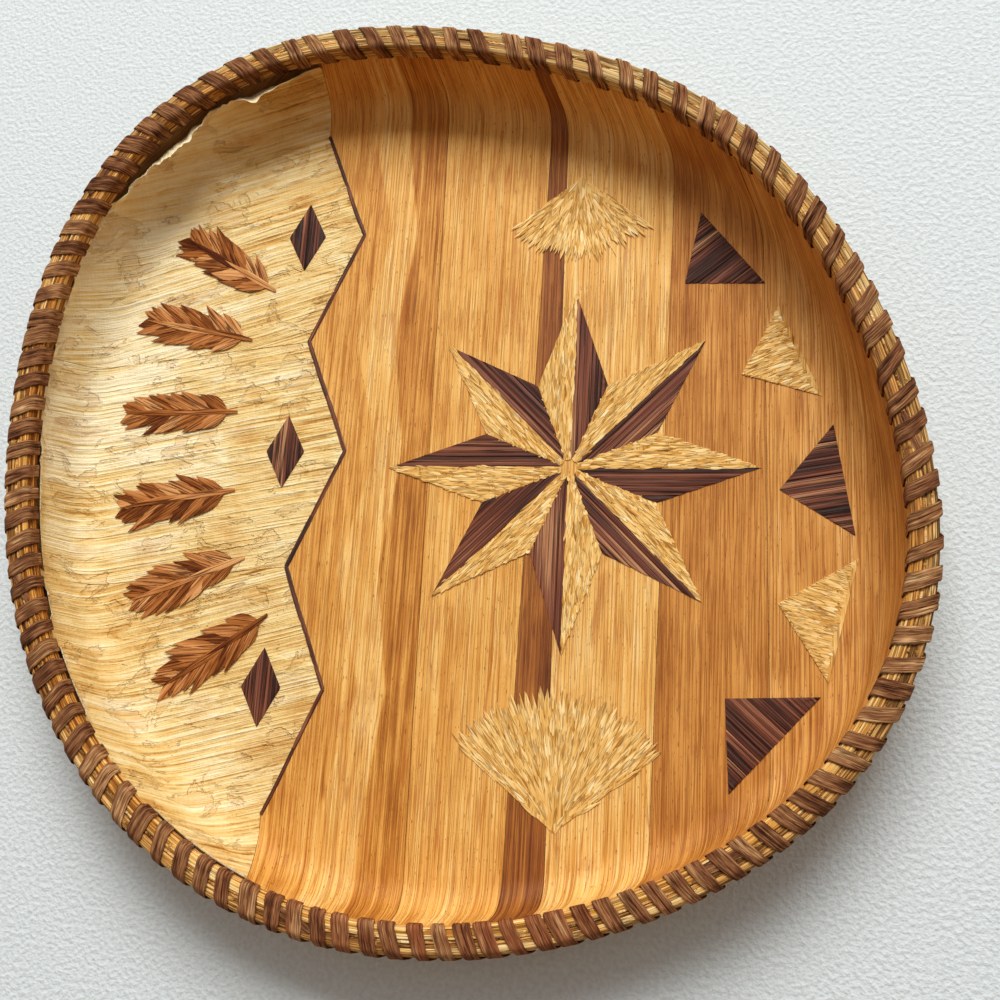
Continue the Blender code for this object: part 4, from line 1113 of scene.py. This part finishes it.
def shingled(name, polygon, origin, direction, node, seed):
    """Straw slivers in overlapping rows, their points all one way, over the inside of an outline."""
    chance = dice(seed)
    side = left_of(direction)
    reach = np.linalg.norm(polygon - origin, axis=1).max() + 0.01
    rows, places = np.arange(-STRAW_LEAD, reach, STRAW_STEP), np.arange(-reach, reach, STRAW_SPACING)
    along, across = np.meshgrid(rows, places, indexing="ij")
    along = (along + STRAW_STEP * chance.uniform(-0.45, 0.45, along.shape)).ravel()
    across = (across + STRAW_SPACING * chance.uniform(-0.25, 0.25, across.shape)).ravel()
    length = chance.uniform(*STRAW_LENGTH, len(along))
    lean = chance.normal(0.0, STRAW_LEAN, len(along))
    enter, leave = line_ends(origin, direction, across, polygon)
    near, far = np.maximum(along, enter + STRAW_TRIM), np.minimum(along + length, leave - STRAW_TRIM)
    keep = far - near > SHORTEST_STRAW
    starts = origin + near[:, None] * direction + across[:, None] * side
    ends = starts + (far - near)[:, None] * (np.cos(lean)[:, None] * direction + np.sin(lean)[:, None] * side)
    slivers(name, polygon, starts[keep], ends[keep], chance, node, seed + 1)


def barred(name, polygon, origin, direction, node, seed):
    """Bark splits laid side by side over a convex outline, with every end cut along it."""
    chance = dice(seed)
    side = left_of(direction)
    across = (polygon - origin) @ side
    count = max(3, int(round((across.max() - across.min()) / BARK_WIDTH)))
    edges = np.linspace(across.min() + 0.0001, across.max() - 0.0001, count + 1)
    edges[1:-1] += chance.uniform(-0.3, 0.3, count - 1) * (edges[1] - edges[0])
    for corner in across[(across > edges[1]) & (across < edges[-2])]:
        edges[1 + np.argmin(np.abs(edges[1:-1] - corner))] = corner
    starts, ends = line_ends(origin, direction, edges, polygon)
    share = ROUND_SECTION[:, 0] + 0.5
    way = np.linspace(0, 1, 9)
    offset, low, high = (v[:-1, None] * (1 - share) + v[1:, None] * share for v in (edges, starts, ends))
    along = low[:, None, :] + (high - low)[:, None, :] * way[None, :, None]
    thick = chance.uniform(*BARK_THICKNESS, count)[:, None, None]
    thick = thick * (1 + 0.12 * chance.normal(size=(count, len(way), 1)))
    thick = thick * np.where((way == 0) | (way == 1), 0.6, 1.0)[None, :, None]
    height = MOTIF_FOOT - 0.0001 + thick * ROUND_SECTION[None, None, :, 1]
    offset = np.broadcast_to(offset[:, None, :], along.shape)
    plan = origin + along[..., None] * direction + offset[..., None] * side
    faces, caps = tube_faces(count, len(way), len(share))
    laid = np.stack([offset + chance.uniform(0, 1), along], axis=-1)
    tone = np.repeat(np.clip(chance.normal(0.5, 0.24, count), 0, 1), len(way) * len(share))
    piece(name, np.concatenate([plan, height[..., None]], axis=-1), faces, "dark", node, laid, tone, caps, 60.0)


def border_base(number):
    """Middle of a border triangle's base near the wall, its outward heading and half the base's length."""
    step = BORDER_SPREAD / (BORDER_TEETH - 1)
    point, normal = rim_towards(number * step - BORDER_SPREAD / 2)
    base = point - (BEND_INSET + BORDER_CLEAR) * normal
    return base, normal, np.linalg.norm(base) * math.sin(step / 2) - BORDER_CLEAR


def fan_room(side):
    """Where a fan's root is, and its reach from there to a little short of the border's last corner."""
    root = np.array([STAR_PLACE, floor_end(STAR_PLACE, side, FAN_ROOT_CLEAR)])
    base, normal, half_base = border_base(BORDER_TEETH - 1 if side > 0 else 0)
    corner = base + side * half_base * left_of(normal)
    return root, np.linalg.norm(corner - root) - FAN_RIM_CLEAR


def make_star():
    """Eight points split down the middle, one half straw and the other bark.

    Each half is a kite's: out to the tip at full reach, back to half the reach half a step round, and to the hub.
    """
    (upper, upper_radius), (lower, lower_radius) = fan_room(1), fan_room(-1)
    middle = np.array([upper[0], (upper[1] - upper_radius + lower[1] + lower_radius) / 2])
    base, normal, _ = border_base(BORDER_TEETH // 2)
    reach = (base - TOOTH_DEPTH * normal)[0] - middle[0] - STAR_CLEAR
    step = 2 * math.pi / STAR_POINTS
    for number in range(STAR_POINTS):
        turn = number * step
        along = np.array([math.cos(turn), math.sin(turn)])
        for side, word, lay, straw_or_bark, seed in (
                (1, "light", shingled, "straw", 100), (-1, "dark", barred, "bark", 120)):
            waist = np.array([math.cos(turn + side * step / 2), math.sin(turn + side * step / 2)])
            polygon = middle + np.array([along * STAR_HUB, along * reach, waist * reach / 2, waist * STAR_HUB])
            lay("%s_star_%d" % (straw_or_bark, number + 1), polygon, middle, along, "star_%s_%d" % (word, number + 1),
                seed + number)


def make_border():
    """Triangles at even turns along the foot of the wall, pointing inwards, of bark and straw by turns."""
    for number in range(BORDER_TEETH):
        base, normal, half_base = border_base(number)
        side = left_of(normal)
        polygon = np.array([base - half_base * side, base + half_base * side, base - TOOTH_DEPTH * normal])
        lay, start, seed = (shingled, base + 0.002 * normal, 140) if number % 2 else (barred, base, 150)
        lay("border_triangle_%d" % (number + 1), polygon, start, -normal, "border_tooth_%d" % (number + 1),
            seed + number)


def make_lozenges():
    """A lozenge of upright bark splits in each corner that the husk pushes into the veneer."""
    for number, middle in enumerate(LOZENGE_PLACES):
        polygon = middle + LOZENGE_HALF * np.array([(1, 0), (0, 1), (-1, 0), (0, -1)])
        barred("bark_lozenge_%d" % (number + 1), polygon, middle, np.array([0.0, 1.0]), "lozenge_%d" % (number + 1),
               160 + number)


def make_fans():
    """Straw slivers in rings round the fan's root, points outwards, the last ring ragged."""
    for word, side in (("upper", 1), ("lower", -1)):
        chance = dice(170 + side)
        root, reach = fan_room(side)
        rings = []
        for radius in np.arange(FIRST_RING, reach - FAN_STRAW_LENGTH[0], STRAW_STEP):
            count = max(3, int(FAN_SPREAD * max(radius, 0.002) / STRAW_SPACING))
            turn = FAN_SPREAD * ((np.arange(count) + chance.uniform(0.2, 0.8, count)) / count - 0.5)
            rings.append(np.column_stack([radius + chance.uniform(-0.0015, 0.0015, count), turn]))
        radius, turn = np.concatenate(rings).T
        length = chance.uniform(*FAN_STRAW_LENGTH, len(radius))
        heading = np.stack([np.sin(turn), -side * np.cos(turn)], axis=1)
        lean = chance.normal(0.0, STRAW_LEAN, len(radius))
        ahead = np.stack([np.sin(turn + lean), -side * np.cos(turn + lean)], axis=1)
        starts = root + np.maximum(radius, 0.0)[:, None] * heading
        arc = np.linspace(-FAN_SPREAD / 2, FAN_SPREAD / 2, FAN_ARC_POINTS)
        rim = root + (reach - FAN_PLATE_CLEAR) * np.column_stack([np.sin(arc), -side * np.cos(arc)])
        slivers("straw_fan_" + word, np.vstack([[root], rim]), starts, starts + length[:, None] * ahead, chance,
                "straw_fan_" + word, 180 + side)


def make_leaves():
    """Strips of bark in pairs along a rib, each overlapping the one behind it, with pointed ends."""
    axes, length = leaf_axes()
    for number, (stalk, normal) in enumerate(axes):
        chance = dice(200 + number)
        side = left_of(normal)
        starts, ends, widths, bases = [], [], [], []
        for pair in range(LEAF_PAIRS):
            share = 0.10 + 0.72 * pair / (LEAF_PAIRS - 1)
            swell = math.sin(math.pi * min(share + 0.08, 1.0)) ** 0.75
            for hand in (-1, 1):
                splay = math.radians(BARB_SPLAY[0] - BARB_SPLAY[1] * share + chance.uniform(-5, 5)) * hand
                root = stalk + length * share * normal
                barb = (BARB_LENGTH[0] + BARB_LENGTH[1] * swell) * chance.uniform(0.85, 1.12)
                starts.append(root)
                ends.append(root + barb * (math.cos(splay) * normal + math.sin(splay) * side))
                widths.append(chance.uniform(*BARB_WIDTH))
                bases.append(MOTIF_FOOT + 0.00045 * (1 - share) * chance.uniform(0.6, 1.2))
        # The rib is two slips, end over end
        for share, reach in ((0.0, 0.55), (0.28, 0.70)):
            starts.append(stalk + length * share * normal)
            ends.append(stalk + length * (share + reach) * normal)
            widths.append(RIB_WIDTH)
            bases.append(MOTIF_FOOT + 0.0005)
        tones = np.clip(chance.normal(0.5, 0.26, len(starts)), 0, 1)
        slips("feather_leaf_bark_%d" % (number + 1), starts, ends, widths, tones, BARB, "leaf",
              "feather_leaf_%d" % (number + 1), 220 + number, base=bases, thickness=0.00034, tip_lift=0.00040,
              bow=0.0008)


def make_zigzag():
    """Bark along each leg of the zigzag, in two slips that meet near its middle."""
    for number, (near, far) in enumerate(zip(ZIGZAG, ZIGZAG[1:])):
        chance = dice(240 + number)
        joints = np.array([0.0, chance.uniform(0.42, 0.58), 1.0])[:, None]
        points = near + (far - near) * joints
        widths, tones = chance.uniform(0.0017, 0.0022, 2), chance.uniform(0.3, 0.7, 2)
        slips("zigzag_bark_%d" % (number + 1), points[:-1], points[1:], widths, tones, SPLIT, "outline",
              "zigzag_strip_%d" % (number + 1), 250 + number, base=MOTIF_FOOT - 0.0001, thickness=0.0006,
              tip_lift=0.0, bow=0.0004)


# Studio

# The window's size, middle and power, and the camera's lens, place and turns in degrees
WINDOW_SIZE = (2.4, 1.8)
WINDOW_PLACE = (0.21, 2.50, 2.85)
WINDOW_POWER = 150.0
LENS = 43.2
CAMERA_PLACE = (0.12644, -0.14032, 0.4887)
CAMERA_TURNS = (14.88, 11.42, 3.32)
GROUND_HALF = 12.0

# The ground's pebbles in a metre: 1.9 mm each, which is coarser than real paint, so that they show
PEBBLES = 520.0


def make_studio():
    """Pale plain ground, one broad window beyond the top of the tray and a soft room round it."""
    scene = bpy.context.scene
    # Matt painted board: near-white, with a fine pebbled skin that catches the light
    material, tree, inputs = new_finish("pale_ground", (0.8, 0.2))
    place = add(tree, "TexCoord", out="Object")
    speck = add(tree, "TexNoise", {"Vector": place, "Scale": PEBBLES, "Detail": 2.0, "Roughness": 0.45})
    colour = add(tree, "ValToRGB", {"Fac": speck}, stops=((0.30, "CFD8DB"), (0.70, "DEE6EA")))
    close_finish(tree, inputs, colour, speck, 0.0010, 0.8)
    mesh = bpy.data.meshes.new("ground")
    mesh.from_pydata([(x * GROUND_HALF, y * GROUND_HALF, 0) for x, y in ((-1, -1), (1, -1), (1, 1), (-1, 1))], [],
                     [(0, 1, 2, 3)])
    mesh.materials.append(material)
    ground = bpy.data.objects.new("ground", mesh)
    scene.collection.objects.link(ground)

    world = bpy.data.worlds.new("pale_room")
    scene.world = world
    world.use_nodes = True
    tree = world.node_tree
    tree.nodes.clear()
    path = add(tree, "LightPath", out=None)
    seen = add(tree, "Math", {0: path["Is Camera Ray"], 1: path["Is Transmission Ray"]}, operation="MAXIMUM")
    seen = add(tree, "Math", {0: seen, 1: path["Is Glossy Ray"]}, operation="MAXIMUM")
    # The room is pale behind the window, and darker and warmer on the other side
    toward = add(tree, "SeparateXYZ", {"Vector": add(tree, "TexCoord", out="Generated")}, out="Y")
    toward = add(tree, "MapRange", {"Value": toward, "From Min": -1.0, "From Max": 1.0})
    walls = add(tree, "ValToRGB", {"Fac": toward}, stops=(
        (0.0, "6A3C18"), (0.22, "785432"), (0.45, "A6A098"), (0.75, "BABCBC"), (1.0, "C2C6C8")))
    room = add(tree, "Background", {"Color": walls, "Strength": 1.0})
    backdrop = add(tree, "Background", {"Color": linear("E6EBEA"), "Strength": 1.0})
    both = add(tree, "MixShader", {0: seen, 1: room, 2: backdrop})
    add(tree, "OutputWorld", {"Surface": both}, out=None)

    window = bpy.data.lights.new("window", "AREA")
    window.shape = "RECTANGLE"
    window.size, window.size_y = WINDOW_SIZE
    window.energy = WINDOW_POWER
    window.color = (1.0, 0.985, 0.95)
    lamp = bpy.data.objects.new("window", window)
    lamp.location = WINDOW_PLACE
    lamp.rotation_euler = (-lamp.location).to_track_quat("-Z", "Y").to_euler()
    scene.collection.objects.link(lamp)

    eye = bpy.data.cameras.new("camera")
    eye.lens = LENS
    eye.sensor_width = 36.0
    camera = bpy.data.objects.new("camera", eye)
    camera.location = CAMERA_PLACE
    camera.rotation_euler = [math.radians(turn) for turn in CAMERA_TURNS]
    scene.collection.objects.link(camera)
    scene.camera = camera
    scene.view_settings.view_transform = "Standard"


plaited_mat()
mat_edge()
make_hoops()
for strip_number in range(LASH_STRIPS):
    lashing_strip(strip_number)
lashing_tails()
for sheet_number in range(len(VEIN_CHANGES)):
    husk_sheet(sheet_number)
for sheet_number in range(len(VENEERS)):
    upright_sheet(sheet_number)
make_zigzag()
make_star()
make_leaves()
make_lozenges()
make_border()
make_fans()
make_studio()
